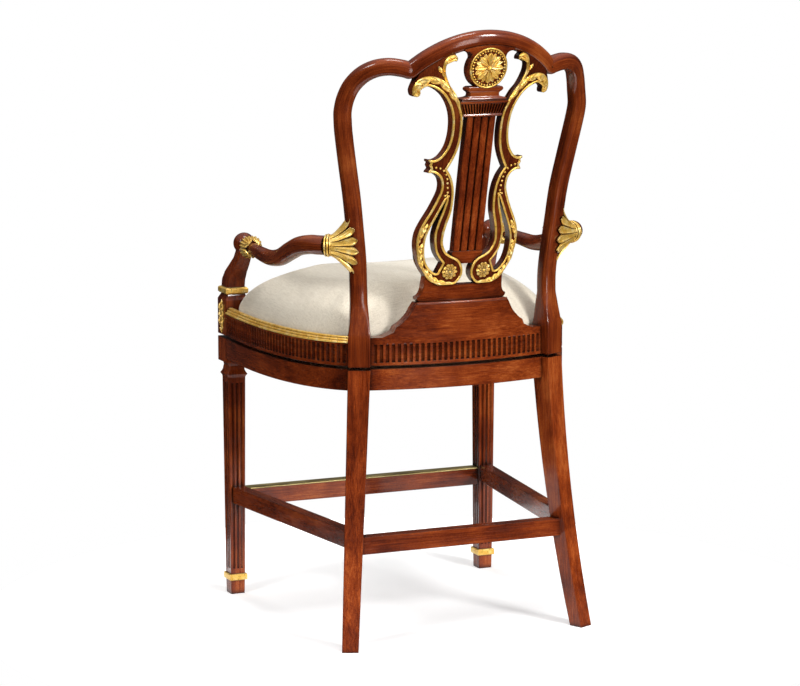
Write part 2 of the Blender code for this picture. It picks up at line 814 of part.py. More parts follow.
def make_swivel(base, seat):
    bearer_top = BASE_TOP - SWIVEL_DROP
    lower = bearer_top + CLEARANCE
    upper = -CLEARANCE - SWIVEL_PLATE_THICKNESS
    for word, turn in (("front", -1), ("back", 1)):
        y = turn * BEARER_SPACING / 2
        add(f"base_{word}_bearer", bearer(y, bearer_top - BEARER_HEIGHT), "softwood", base)
        add(f"seat_{word}_bearer", bearer(y, 0), "softwood", seat)
    add("swivel_lower_plate", swivel_plate(lower), "steel", base)
    add("swivel_upper_plate", swivel_plate(upper), "steel", seat)
    race_low = lower + SWIVEL_PLATE_THICKNESS + CLEARANCE
    race_high = SEAT_BOTTOM + upper - CLEARANCE
    make_ball_cage(base, race_low, race_high)
    make_pivot(base, lower, SEAT_BOTTOM + upper + SWIVEL_PLATE_THICKNESS)


def make_ball_cage(base, low, high):
    """The ring that spaces the balls between the two plates."""
    middle = (low + high) / 2
    rims = [circle(BALL_CIRCLE_RADIUS + BALL_CAGE_WIDTH / 2 * turn, 16) for turn in (1, -1)]
    half = BALL_CAGE_THICKNESS / 2
    cage = add("swivel_ball_cage", plate(rims, middle - half, middle + half), "steel", base)
    balls = bmesh.new()
    for place in circle(BALL_CIRCLE_RADIUS, BALL_COUNT):
        bmesh.ops.create_uvsphere(
            balls, u_segments=6, v_segments=4, radius=(high - low) / 2,
            matrix=Matrix.Translation((place.x, place.y, middle)),
        )
    cut(cage, cutter("swivel_balls", balls, base), "UNION")


def make_pivot(base, low, high):
    """The hollow rivet whose flanges hold the two plates together."""
    bottom = low - CLEARANCE
    top = high + RUNNING_CLEARANCE
    rim = PIVOT_RADIUS + PIVOT_FLANGE
    bore = PIVOT_RADIUS - PIVOT_WALL
    profile = (
        (rim, top + PIVOT_FLANGE_THICKNESS), (rim, top), (PIVOT_RADIUS, top),
        (PIVOT_RADIUS, bottom), (rim, bottom), (rim, bottom - PIVOT_FLANGE_THICKNESS),
        (bore, bottom - PIVOT_FLANGE_THICKNESS), (bore, top + PIVOT_FLANGE_THICKNESS),
    )
    shape = bmesh.new()
    corners = [shape.verts.new((r, 0, z)) for r, z in profile]
    for here, there in zip(corners, corners[1:] + corners[:1]):
        shape.edges.new((here, there))
    pivot = add("swivel_pivot", shape, "steel", base)
    turn = pivot.modifiers.new("turn", "SCREW")
    turn.steps = 12
    turn.render_steps = 12
    turn.use_merge_vertices = True
    turn.merge_threshold = CLEARANCE / 10


# Seat rails, mouldings and cushion


def flutes_along(face, bottom, top):
    """Upright flutes at an even pitch along a run of points in plan."""
    lengths = [0.0]
    for here, there in zip(face, face[1:]):
        lengths.append(lengths[-1] + (there - here).length)
    run = [(length, point.x, point.y) for length, point in zip(lengths, face)]
    room = lengths[-1] - 2 * RAIL_FLUTE_MARGIN
    count = int(room / RAIL_FLUTE_PITCH)
    ends = []
    for flute in range(count + 1):
        x, y = read_run(run, RAIL_FLUTE_MARGIN + room * flute / count)
        ends.append((Vector((x, y, bottom)), Vector((x, y, top))))
    return rods(ends, RAIL_FLUTE_RADIUS, 6)


def add_flutes(rail, face, seat):
    flutes = flutes_along(face, RAIL_FLUTE_BOTTOM, RAIL_FLUTE_TOP)
    cut(rail, cutter(f"{rail.name}_flutes", flutes, seat))


def moulding_profile():
    """Three reeds, stepping up and in, as reach from the rail's face and height."""
    out = MOULDING_OVERHANG
    third = (MOULDING_WIDTH - MOULDING_OVERHANG) / 3
    rise = MOULDING_HEIGHT / 3
    points = [(-MOULDING_WIDTH + out, 0), (out * 0.5, 0)]
    for reed in range(3):
        edge = out - third * reed * 0.8
        low = rise * reed
        points += [(edge, low + rise * 0.25), (edge - third * 0.15, low + rise * 0.75)]
        points.append((edge - third * 0.6, low + rise))
    points.append((-MOULDING_WIDTH + out, MOULDING_HEIGHT * 0.95))
    return points


def moulding(face, ends):
    """A gilt moulding along a rail's face, its ends cut to the planes of the posts."""
    bottom = SEAT_RAIL_HEIGHT + CLEARANCE
    rings = []
    for place, point in enumerate(face):
        along = face[min(place + 1, len(face) - 1)] - face[max(place - 1, 0)]
        out = Vector((along.y, -along.x, 0)).normalized()
        centre = Vector((point.x, point.y, bottom))
        rings.append([centre + out * o + Vector((0, 0, h)) for o, h in moulding_profile()])
    for place, step, (point, normal) in ((0, 1, ends[0]), (-1, -1, ends[1])):
        along = (face[place + step] - face[place]).normalized().to_3d()
        rings[place] = slide_to_plane(rings[place], along, point.to_3d(), normal.to_3d())
    return skin(rings)


def back_panel_top(x):
    """Height of the back rail's top: level at the posts, with a shaped rise to the splat's ledge."""
    reach = max(0.0, min(1.0, (abs(x) - PANEL_HALF_WIDTH) / PANEL_COVE_WIDTH))
    return blend(PANEL_END_HEIGHT, PANEL_TOP, read_run(PANEL_SIDE, reach)[0])


def back_rail_shape():
    """The fluted back rail and the shaped panel above it, as one bowed board that leans back."""
    side = [PANEL_HALF_WIDTH + PANEL_COVE_WIDTH * reach for reach, _ in PANEL_SIDE]
    level = [PANEL_HALF_WIDTH * step / 5 for step in range(5)]
    half = level + side + [BACK_POST_X]
    stops = [-x for x in half[:0:-1]] + half
    rings = []
    for x in stops:
        top = back_panel_top(x)
        lean = PANEL_LEAN * (top - SEAT_RAIL_HEIGHT)
        outer = back_rail_face(x)
        inner = back_rail_face(x, RAIL_THICKNESS)
        profile = (
            (outer, 0), (outer, SEAT_RAIL_HEIGHT), (outer + lean, top),
            (inner + lean, top), (inner, SEAT_RAIL_HEIGHT), (inner, 0),
        )
        rings.append([Vector((x, y, z)) for y, z in profile])
    return skin(rings)


def post_gate(side, seat):
    """A block that cuts the back rail off at the inner face of a post."""
    corners = (
        post_point(-BACK_POST_WIDTH / 2 - CLEARANCE, -BACK_POST_DEPTH * 2),
        post_point(BACK_POST_WIDTH, -BACK_POST_DEPTH * 2),
        post_point(BACK_POST_WIDTH, BACK_POST_DEPTH * 2),
        post_point(-BACK_POST_WIDTH / 2 - CLEARANCE, BACK_POST_DEPTH * 2),
    )
    word = "left" if side > 0 else "right"
    gate = plate([flip(corners, side)], -SEAT_RAIL_HEIGHT, PANEL_TOP)
    return cutter(f"back_{word}_post_gate", gate, seat)


def make_seat_rails(seat, frame_tools):
    across, _ = post_axes()
    top = SEAT_RAIL_HEIGHT
    reach = FRONT_LEG_X - BLOCK_HALF - CLEARANCE
    face = [Vector((reach * (step / 12 - 1), 0)) for step in range(25)]
    face = [Vector((p.x, front_face(p.x))) for p in face]
    rail = add("seat_front_rail", plate([front_rail_outline()], 0, top), "mahogany", seat)
    add_flutes(rail, face, seat)
    inward = Vector((1, 0))
    ends = ((face[0], inward), (face[-1], inward))
    add("seat_front_moulding", moulding(face[::2], ends), "gilt", seat)
    for word, side in SIDES:
        rail = plate([flip(side_rail_outline(), side)], 0, top)
        rail = add(f"seat_{word}_rail", rail, "mahogany", seat)
        face = side_curve(40)
        add_flutes(rail, flip(face, side), seat)
        near = (face[0] + Vector((0, CLEARANCE)), Vector((0, 1)))
        far = (post_point(BACK_POST_WIDTH / 2 + CLEARANCE, 0), across)
        ends = [flip(end, side) for end in (near, far)]
        face = flip(side_curve(10), side)
        if side < 0:
            face = face[::-1]
            ends = ends[::-1]
        strip = add(f"seat_{word}_moulding", moulding(face, ends), "gilt", seat)
        cut(strip, frame_tools[word])
    board = add("seat_back_rail", back_rail_shape(), "mahogany", seat)
    for _, side in SIDES:
        cut(board, post_gate(side, seat))
    inner_end = post_point(-BACK_POST_WIDTH / 2, 0).x
    face = [Vector((inner_end * (step / 20 - 1), 0)) for step in range(41)]
    add_flutes(board, [Vector((p.x, back_rail_face(p.x))) for p in face], seat)


def make_deck(seat):
    """The board that the cushion is built on, let in between the rails on top of the cross rails."""
    inset = RAIL_THICKNESS + CLEARANCE
    half = side_curve(14, inset)
    outline = half + flip(half[::-1], -1)
    back = Vector((0, back_rail_face(BACK_POST_X, inset)))
    front = Vector((0, front_face(FRONT_LEG_X - BLOCK_HALF, inset)))
    outline = clip(outline, back, Vector((0, -1)))
    outline = clip(outline, front, Vector((0, 1)))
    _, out = post_axes()
    for _, side in SIDES:
        gate = flip([post_point(0, -BACK_POST_DEPTH / 2 - CUSHION_POST_GAP)], side)[0]
        outline = clip(outline, gate, -flip([out], side)[0])
    top = SEAT_RAIL_HEIGHT
    bottom = BEARER_HEIGHT + CLEARANCE
    thick = min(DECK_THICKNESS, top - bottom)
    add("seat_deck", plate([outline], bottom, bottom + thick), "softwood", seat)


def cushion_plan():
    """Half of the cushion's outline at its foot, from the front middle round to the back middle."""
    inset = MOULDING_WIDTH - MOULDING_OVERHANG + CUSHION_GAP
    gap = CUSHION_POST_GAP
    inner = FRONT_LEG_X - BLOCK_HALF - gap
    behind = FRONT_LEG_Y + BLOCK_HALF + gap
    half = [Vector((x, front_face(x, inset))) for x in (0, inner * 0.3, inner * 0.6, inner * 0.93)]
    half += [Vector((inner, front_face(inner, inset + gap * 2)))]
    half += [Vector((inner, behind - gap * 2)), Vector((inner + gap * 0.5, behind))]
    side = side_curve(14, inset)
    half += [Vector((side[1].x - gap * 3, behind)), Vector((side[1].x - gap * 0.5, behind + gap * 1.5))]
    half += side[2:13:2]
    reach = BACK_POST_WIDTH / 2
    depth = -BACK_POST_DEPTH / 2 - gap
    half += [post_point(reach, depth), post_point(0, depth), post_point(-reach - gap, depth)]
    edge = half[-1].x
    half += [
        Vector((edge * share, back_rail_face(edge * share, RAIL_THICKNESS + CUSHION_GAP)))
        for share in (0.8, 0.5, 0.2)
    ]
    return half


def make_cushion(seat):
    """A pulled-over cushion: drawn in at its foot, full at its sides and crowned."""
    half = cushion_plan()
    loop = half + flip(half[:0:-1], -1)
    eased = []
    for here, there in zip(loop, loop[1:] + loop[:1]):
        eased += [here * 0.75 + there * 0.25, here * 0.25 + there * 0.75]
    centre = Vector((0, (half[0].y + half[-1].y) / 2))
    bottom = SEAT_RAIL_HEIGHT + CLEARANCE
    levels = (
        (0.000, 0.002), (0.080, 0.000), (0.220, 0.002), (0.420, 0.012), (0.610, 0.031),
        (0.780, 0.062), (0.910, 0.108), (0.985, 0.180),
    )
    rings = []
    for rise, inset in levels:
        ring = []
        for point in eased:
            arm = point - centre
            place = centre + arm * max(0.1, 1 - inset / arm.length)
            ring.append(Vector((place.x, place.y, bottom + CUSHION_CROWN * rise)))
        rings.append(ring)
    shape = skin(rings)
    crown = max(shape.faces, key=lambda face: len(face.verts) * face.calc_center_median().z)
    middle = bmesh.ops.poke(shape, faces=[crown])["verts"][0]
    middle.co.z = bottom + CUSHION_CROWN
    add("seat_cushion", shape, "linen", seat)


# Arms


def stile_middle(height):
    """Middle of the left stile at this height."""
    out, back = read_run(curve_through(STILE_COURSE, 6), height)
    return Vector((BACK_POST_X + out, BACK_POST_Y + back, height))


def knob_centre():
    return Vector((FRONT_LEG_X - KNOB_INSET, FRONT_LEG_Y + KNOB_SWEEP, KNOB_HEIGHT))


def collar_centre():
    stile = stile_middle(KNOB_HEIGHT + COLLAR_RISE)
    return stile + Vector((COLLAR_OUT, -COLLAR_FORWARD, 0))


def arm_stations():
    """Points and radii of the left arm, from its ball to its collar."""
    start = knob_centre()
    stop = collar_centre()
    course = [(0.0, 0.0, 0.0, KNOB_RADIUS * 0.5), *ARM_COURSE, (1.0, 0.0, 0.0, ARM_END_RADIUS)]
    stations = []
    for share, out, up, radius in curve_through(course, 2):
        place = start + (stop - start) * share + Vector((out, 0, up))
        stations.append((place, radius))
    return stations


def arm_axis():
    """Direction in which the arm leaves its ball."""
    return (arm_stations()[2][0] - knob_centre()).normalized()


def fan_direction():
    """Direction from the arm's collar to the middle of the stile."""
    return (stile_middle(collar_centre().z) - collar_centre()).normalized()


def collar_direction():
    """Normal of the mitre between the arm's end and its fan."""
    last, before = arm_stations()[-1][0], arm_stations()[-2][0]
    return ((last - before).normalized() + fan_direction()).normalized()


def arm_rings(side, grow=0.0):
    ball = KNOB_RADIUS
    path = []
    radii = []
    for turn in (172, 150, 125, 100, 75, 50, 36):
        angle = math.radians(turn)
        path.append(knob_centre() + arm_axis() * ball * math.cos(angle))
        radii.append(ball * math.sin(angle))
    beyond = ball * 1.3
    for place, radius in arm_stations():
        if (place - knob_centre()).length > beyond:
            path.append(place)
            radii.append(radius)
    upright = [Vector((0, 0, 1))] * len(path)
    sections = [section(2 * (r + grow), 2 * (r + grow), 2, ARM_POINTS) for r in radii]
    rings = sweep(path, upright, sections)
    mitre = collar_direction()
    end = path[-1] - mitre * CLEARANCE
    rings[-1] = slide_to_plane(rings[-1], path[-1] - path[-2], end, mitre)
    return [mirrored(ring, side) for ring in rings]


def leaf_rings(centre, along, up, stations, leaves, tip, lead=None, lag=0.0):
    """Rings of a flared cup of leaves: distance, half width and half height, ending in points.

    The first rings face the lead, and those from a third of the way on face along. The leaves above
    and below the middle end short by the lag.
    """
    rings = []
    points = leaves * 2
    length, wide, high = stations[-1]
    mouth = (length, wide * LEAF_MOUTH, high * LEAF_MOUTH)
    for place, (reach, wide, high) in enumerate([*stations, mouth]):
        flute = min(1, place / (len(stations) - 1))
        facing = (lead or along).lerp(along, min(1, 3 * reach / length)).normalized()
        across = facing.cross(up).normalized()
        ring = []
        for step in range(points):
            turn = 2 * math.pi * step / points
            valley = 1 - abs(math.cos(turn * leaves / 2))
            swell = 1 - LEAF_VALLEY * flute * valley
            short = tip * flute * valley + lag * flute * math.sin(turn) ** 2
            side = across * (wide * swell * math.cos(turn)) + up * (high * swell * math.sin(turn))
            ring.append(centre + along * (reach - short) + side)
        rings.append(ring)
    return rings


def leaf_shape(rings):
    """A closed body over a cup's rings, its zigzag mouth closed to a point in its middle."""
    shape = skin(rings)
    shape.faces.ensure_lookup_table()
    bmesh.ops.poke(shape, faces=[shape.faces[-1]])
    return shape


def fan_rings(side):
    """The gilt collar and leaves that spread from the arm's end over the stile."""
    start = collar_centre()
    run = (stile_middle(start.z) - start).length
    cheek = STILE_DEPTH / 2 + LEAF_THICKNESS * 3
    ring = ARM_END_RADIUS + LEAF_THICKNESS
    stations = (
        (0.0, ARM_END_RADIUS, ARM_END_RADIUS),
        (run * 0.03, ring, ring),
        (run * 0.12, ring, ring),
        (run * 0.16, ARM_END_RADIUS, ARM_END_RADIUS),
        (run * 0.38, blend(ring, cheek, 0.3), blend(ring, FAN_HALF_HEIGHT, 0.18)),
        (run * 0.64, blend(ring, cheek, 0.7), blend(ring, FAN_HALF_HEIGHT, 0.52)),
        (run * 0.88, cheek, blend(ring, FAN_HALF_HEIGHT, 0.88)),
        (run * 1.03, cheek, FAN_HALF_HEIGHT),
    )
    up = Vector((0, 0, 1))
    rings = leaf_rings(
        start, fan_direction(), up, stations, FAN_LEAVES, run * FAN_TIP,
        collar_direction(), run * FAN_LAG,
    )
    return [mirrored(points, side) for points in rings]


def leaf_cup_rings(side, grow=0.0):
    """The gilt leaves round the arm, open towards its ball."""
    neck = LEAF_CUP_NECK + grow
    wide = KNOB_RADIUS + grow
    stations = (
        (0.0, neck, neck),
        (LEAF_CUP_LENGTH * 0.15, neck + LEAF_THICKNESS * 0.8, neck + LEAF_THICKNESS * 0.8),
        (LEAF_CUP_LENGTH * 0.45, blend(neck, wide, 0.55), blend(neck, wide, 0.55)),
        (LEAF_CUP_LENGTH * 0.75, blend(neck, wide, 0.9), blend(neck, wide, 0.9)),
        (LEAF_CUP_LENGTH, wide, wide),
    )
    along = -arm_axis()
    start = knob_centre() - along * (KNOB_RADIUS * LEAF_CUP_STAND_OFF + LEAF_CUP_LENGTH)
    tip = LEAF_CUP_LENGTH * 0.25
    rings = leaf_rings(start, along, Vector((0, 0, 1)), stations, LEAF_CUP_LEAVES, tip)
    return [mirrored(points, side) for points in rings]


def arm_post_rings(side):
    """The block over the front leg, its waist and the support that sweeps back under the ball."""
    top = knob_centre().z
    band = ARM_BLOCK_HEIGHT + POST_BAND_HEIGHT
    foot = POST_FOOT_WIDTH / 2
    head = POST_TOP_WIDTH / 2
    levels = (
        (0.0, BLOCK_HALF, 0.0),
        (ARM_BLOCK_HEIGHT * 0.86, BLOCK_HALF, 0.0),
        (ARM_BLOCK_HEIGHT * 0.92, BLOCK_HALF - ARRIS * 2.5, 0.0),
        (ARM_BLOCK_HEIGHT, foot, 0.0),
        (band, foot, 0.0),
        (blend(band, top, 0.16), foot, 0.05),
        (blend(band, top, 0.34), blend(foot, head, 0.15), 0.26),
        (blend(band, top, 0.52), blend(foot, head, 0.45), 0.58),
        (blend(band, top, 0.68), blend(foot, head, 0.80), 0.84),
        (blend(band, top, 0.84), head, 0.97),
        (top, head, 1.0),
    )
    rings = []
    for height, half, share in levels:
        x = FRONT_LEG_X - KNOB_INSET * share
        place = Vector((side * x, FRONT_LEG_Y + KNOB_SWEEP * share, height))
        rings.append(square_ring(place, half, ARRIS * (1 + 2 * share)))
    return rings


def ornament(side):
    """A pointed oval of carving on the outer face of an arm post's block."""
    face = FRONT_LEG_X + BLOCK_HALF + CLEARANCE
    middle = ARM_BLOCK_HEIGHT * 0.45
    rings = []
    for reach, scale in ((0.0, 1.0), (0.35, 0.92), (0.8, 0.55), (1.0, 0.12)):
        ring = []
        for step in range(16):
            turn = 2 * math.pi * step / 16
            across = math.cos(turn) * abs(math.cos(turn)) ** ORNAMENT_POINTING
            y = FRONT_LEG_Y + ORNAMENT_WIDTH / 2 * scale * across
            z = middle + ORNAMENT_LENGTH / 2 * scale * math.sin(turn)
            ring.append(Vector((side * (face + ORNAMENT_HEIGHT * reach), y, z)))
        rings.append(ring)
    return skin(rings)


def make_arms(seat, stile_tools):
    for word, side in SIDES:
        add(f"{word}_arm", skin(arm_rings(side)), "mahogany", seat)
        arm_tool = cutter(f"{word}_arm_seat", skin(arm_rings(side, CLEARANCE)), seat)
        fan = add(f"{word}_arm_fan", leaf_shape(fan_rings(side)), "gilt", seat)
        cut(fan, stile_tools[word])
        cup = add(f"{word}_arm_leaf_cup", leaf_shape(leaf_cup_rings(side)), "gilt", seat)
        cut(cup, arm_tool)
        cup_tool = cutter(f"{word}_cup_seat", leaf_shape(leaf_cup_rings(side, CLEARANCE)), seat)
        post = add(f"{word}_arm_post", skin(arm_post_rings(side)), "mahogany", seat)
        cut(post, arm_tool)
        cut(post, cup_tool)
        inner = POST_FOOT_WIDTH / 2 + CLEARANCE
        centre = Vector((side * FRONT_LEG_X, FRONT_LEG_Y))
        bottom = ARM_BLOCK_HEIGHT + CLEARANCE
        band = square_band(
            centre, inner, inner + POST_BAND_REACH, bottom, POST_BAND_HEIGHT - CLEARANCE
        )
        add(f"{word}_post_band", band, "gilt", seat)
        add(f"{word}_post_ornament", ornament(side), "gilt", seat)


# Back frame


def back_face(x, z):
    """Y of the splat's rear face."""
    rise = z - BACK_FACE_FROM
    raked = BACK_POST_Y + BACK_FACE_Y + BACK_RAKE * rise + BACK_RAKE_CURVE * rise**2
    span = stile_middle(STILE_JOINT_HEIGHT).x + BACK_BOW_MARGIN
    return raked - BACK_BOW_DEPTH * (1 - math.sqrt(max(0.0, 1 - (x / span) ** 2)))


def crest_radius():
    return (CREST_HALF_SPAN**2 + CREST_RISE**2) / (2 * CREST_RISE)


def crest_line(x, offset=0.0):
    """Height of the crest's middle line, or of a line that far above it."""
    radius = crest_radius()
    centre = CREST_TOP - CREST_HEIGHT / 2 - radius
    return centre + math.sqrt((radius + offset) ** 2 - x * x)


def crest_underside(x):
    """Height to which the splat is drawn, inside the crest, before the crest's shape is cut from it."""
    return crest_line(x, CREST_BITE - CREST_HEIGHT / 2)


def plan_normal(x):
    """Level direction out of the splat's rear face at this distance from the middle."""
    fall = back_face(x - SLOPE_STEP, 0) - back_face(x + SLOPE_STEP, 0)
    return Vector((fall, 2 * SLOPE_STEP, 0)).normalized()


def stile_shape(side, grow=0.0):
    rings_at = [row for row in curve_through(STILE_COURSE, 2) if row[0] < STILE_JOINT_HEIGHT]
    path = [Vector((BACK_POST_X + out, BACK_POST_Y + back, z)) for z, out, back in rings_at]
    path.append(stile_middle(STILE_JOINT_HEIGHT))
    path.append(path[-1] * 2 - path[-2])
    sections = []
    normals = []
    for place in path:
        share = max(0.0, min(1.0, (place.z - STILE_BLOCK_HEIGHT) / STILE_BLOCK_HEIGHT)) ** 0.7
        width = blend(BACK_POST_WIDTH, STILE_WIDTH, share) + 2 * grow
        depth = blend(BACK_POST_DEPTH, STILE_DEPTH, share) + 2 * grow
        power = blend(SQUARE_POWER, ROUND_POWER, share**0.4)
        sections.append(section(width, depth, power, SECTION_POINTS))
        turn = blend(BACK_POST_TURN, stile_turn(), share)
        normals.append(Vector((side * math.sin(turn), math.cos(turn), 0)))
    shape = skin(sweep(mirrored(path, side), normals, sections))
    return trim(shape, Vector((0, 0, STILE_JOINT_HEIGHT - CLEARANCE / 2)), Vector((0, 0, 1)))


def stile_turn():
    """How far the stile's section is turned where it meets the shoulder."""
    normal = plan_normal(stile_middle(STILE_JOINT_HEIGHT * 0.6).x)
    return math.atan2(normal.x, normal.y)


def shoulder_path():
    start = stile_middle(STILE_JOINT_HEIGHT)
    end_x = CREST_HALF_SPAN + CLEARANCE / 2
    top = crest_line(CREST_HALF_SPAN) + SHOULDER_RISE
    end_y = back_face(end_x, top) - CREST_DEPTH / 2
    path = []
    for run_in, up, back in curve_through(SHOULDER_COURSE, 2):
        x = blend(start.x, end_x, run_in)
        path.append(Vector((x, blend(start.y, end_y, back), blend(start.z, top, up))))
    return path


def shoulder_shape(side):
    path = shoulder_path()
    path.insert(0, path[0] * 2 - path[1])
    path.append(path[-1] * 2 - path[-2])
    path.append(path[-1] * 2 - path[-2])
    sections = []
    normals = []
    for place, centre in enumerate(path):
        share = max(0, place - 1) / (len(path) - 1)
        width = blend(STILE_WIDTH, CREST_HEIGHT, share)
        depth = blend(STILE_DEPTH, CREST_DEPTH, share)
        sections.append(section(width, depth, ROUND_POWER, SECTION_POINTS))
        level = plan_normal(centre.x)
        turn = min(math.atan2(level.x, level.y), blend(stile_turn(), math.pi / 2, min(1, share * 2)))
        normals.append(Vector((side * math.sin(turn), math.cos(turn), 0)))
    path = mirrored(path, side)
    shape = skin(sweep(path, normals, sections))
    trim(shape, Vector((0, 0, STILE_JOINT_HEIGHT + CLEARANCE / 2)), Vector((0, 0, -1)))
    end = Vector((side * (CREST_HALF_SPAN + CLEARANCE / 2), 0, 0))
    return trim(shape, end, Vector((-side, 0, 0)))


def crest_shape(grow=0.0):
    radius = crest_radius()
    limit = math.asin(CREST_HALF_SPAN / radius)
    path = []
    for step in range(-CREST_STEPS - 1, CREST_STEPS + 2):
        x = radius * math.sin(limit * step / CREST_STEPS)
        z = crest_line(x)
        path.append(Vector((x, back_face(x, z) - CREST_DEPTH / 2, z)))
    normals = [plan_normal(place.x) for place in path]
    outline = section(CREST_HEIGHT + 2 * grow, CREST_DEPTH + 2 * grow, ROUND_POWER, SECTION_POINTS)
    shape = skin(sweep(path, normals, [outline] * len(path)))
    for _, side in SIDES:
        end = Vector((side * (CREST_HALF_SPAN - CLEARANCE / 2), 0, 0))
        trim(shape, end, Vector((side, 0, 0)))
    return shape


def make_back_frame(seat):
    tools = {}
    for word, side in SIDES:
        add(f"{word}_stile", stile_shape(side), "mahogany", seat)
        tools[word] = cutter(f"{word}_stile_seat", stile_shape(side, CLEARANCE), seat)
        add(f"{word}_shoulder", shoulder_shape(side), "mahogany", seat)
    add("crest_rail", crest_shape(), "mahogany", seat)
    tools["crest"] = cutter("crest_seat", crest_shape(CLEARANCE), seat)
    return tools


# Splat


def plinth_top():
    return PANEL_TOP + CLEARANCE + PLINTH_HEIGHT


def scroll_scale():
    """Stretch of the drawn scroll's heights, so that its top meets the crest."""
    middle = sum(SCROLL_TOP) / 2000
    return (crest_line(middle, -CREST_HEIGHT / 2) - plinth_top()) / DRAWN_SCROLL_HEIGHT


def drawn(points):
    """Drawn points in metres, standing on the plinth."""
    return [(x / 1000, plinth_top() + z / 1000 * scroll_scale()) for x, z in points]


def scroll_outline():
    outline = curve_through(drawn(SCROLL_CURL), 2)[:-1]
    outline += curve_through(drawn(SCROLL_WAIST), 1)
    outline += drawn(SCROLL_CUSP)
    outline += curve_through(drawn(SCROLL_BODY), 2)[:-1]
    outline += curve_through(drawn(SCROLL_STRAND), 1)[:-1]
    outline += curve_through(drawn(SCROLL_NECK), 1)
    outline += drawn([SCROLL_TIP])
    for step in range(6):
        x = blend(SCROLL_TOP[0], SCROLL_TOP[1], step / 5) / 1000
        outline.append((x, crest_underside(x)))
    floor = plinth_top() + CLEARANCE
    return [(x, max(floor, min(z, crest_underside(x)))) for x, z in outline]


def slot_outline():
    return drawn(SLOT_OUTER) + drawn(SLOT_INNER)[:-1]


def inner_edge():
    """The left scroll's inner edge, from the side of its volute up to its flare."""
    volute = curve_through(drawn(SCROLL_BODY), 2)
    low = min(range(len(volute)), key=lambda place: volute[place][0])
    return volute[low:] + drawn(SCROLL_STRAND)[1:] + drawn(SCROLL_NECK)[1:-4]


def scroll_inner_edge(z):
    """X of the left scroll's inner edge at this height."""
    return read_run([(height, x) for x, height in inner_edge()], z)[0]


def on_splat(shape, side=1):
    """Bends a piece drawn flat (across, up, out) on to the splat's rear face."""
    reach = max(abs(vert.co.x) for vert in shape.verts)
    for step in range(-int(reach / BEND_STEP), int(reach / BEND_STEP) + 1):
        bmesh.ops.bisect_plane(
            shape, geom=[*shape.verts, *shape.edges, *shape.faces], dist=CLEARANCE / 10,
            plane_co=(step * BEND_STEP, 0, 0), plane_no=(1, 0, 0),
        )
    for vert in shape.verts:
        x, z, out = vert.co
        vert.co = (side * x, back_face(x, z) + out, z)
    face_out(shape)
    return shape


def flower(centre, radius, height, petals, base):
    """A turned flower, drawn flat: a raised rim, petals with sunk joins, and a boss."""
    count = petals * 2
    profile = (
        (1.0, 0.0), (1.0, 0.6), (0.84, 0.4), (0.72, 0.72), (0.50, 0.85), (0.28, 0.55), (0.22, 0.95),
        (0.10, 1.0),
    )
    rings = []
    for reach, rise in profile:
        ring = []
        for step in range(count):
            turn = 2 * math.pi * step / count
            lobe = abs(math.cos(turn * petals / 2))
            carved = 0.3 < reach < 0.8
            level = rise * (0.55 + 0.45 * lobe) if carved else rise
            x = centre[0] + radius * reach * math.cos(turn)
            z = centre[1] + radius * reach * math.sin(turn)
            ring.append(Vector((x, z, base + height * level)))
        rings.append(ring)
    return skin(rings)


def symmetric(half):
    """An outline from its right half, given from the bottom up."""
    return half + [(-x, z) for x, z in half[::-1]]


def make_scrolls(seat, crest_tool):
    for word, side in SIDES:
        blank = plate([scroll_outline(), slot_outline()], -SCROLL_THICKNESS, 0)
        scroll = add(f"{word}_lyre_scroll", on_splat(blank, side), "mahogany", seat)
        cut(scroll, crest_tool)
        centre = drawn([ROSETTE_CENTRE])[0]
        petals = flower(centre, ROSETTE_RADIUS, ROSETTE_HEIGHT, ROSETTE_PETALS, CLEARANCE)
        add(f"{word}_rosette", on_splat(petals, side), "gilt", seat)


def under_volute():
    """The plinth's seat for the left volute, from its cheek in to where the two meet level."""
    run = [Vector(point) for point in curve_through(drawn(SCROLL_BODY), 2)]
    seat = []
    for before, here, after in zip(run, run[1:], run[2:]):
        along = (after - before).normalized()
        place = here + Vector((-along.y, along.x)) * CLEARANCE * 2
        inside = place.x < PLINTH_HALF_WIDTH and here.y < plinth_top() + PLINTH_CHEEK
        if along.x < 0 and along.y < 0 and inside:
            seat.append((place.x, max(place.y, plinth_top())))
    return seat


def make_plinth(seat):
    """The shoe under the lyre: coved ends, with cheeks that rise beside the volutes."""
    low = PANEL_TOP + CLEARANCE
    wide = PLINTH_HALF_WIDTH + PLINTH_FLARE
    half = [(PLINTH_HALF_WIDTH + PLINTH_FLARE * 0.5, low), (wide, low + PLINTH_HEIGHT * 0.18)]
    half += [(wide, low + PLINTH_HEIGHT * 0.32)]
    for step in range(1, 6):
        turn = step / 5 * math.pi / 2
        x = wide - PLINTH_FLARE * math.sin(turn)
        half.append((x, low + PLINTH_HEIGHT * (1 - 0.68 * math.cos(turn))))
    half += under_volute()
    shape = plate([symmetric(half)], -SPLAT_FRONT, -PLINTH_SETBACK)
    add("splat_plinth", on_splat(shape), "mahogany", seat)


def yoke_top():
    volute_top = drawn([SCROLL_STRAND[0]])[0][1]
    return volute_top + YOKE_BEAD_HEIGHT


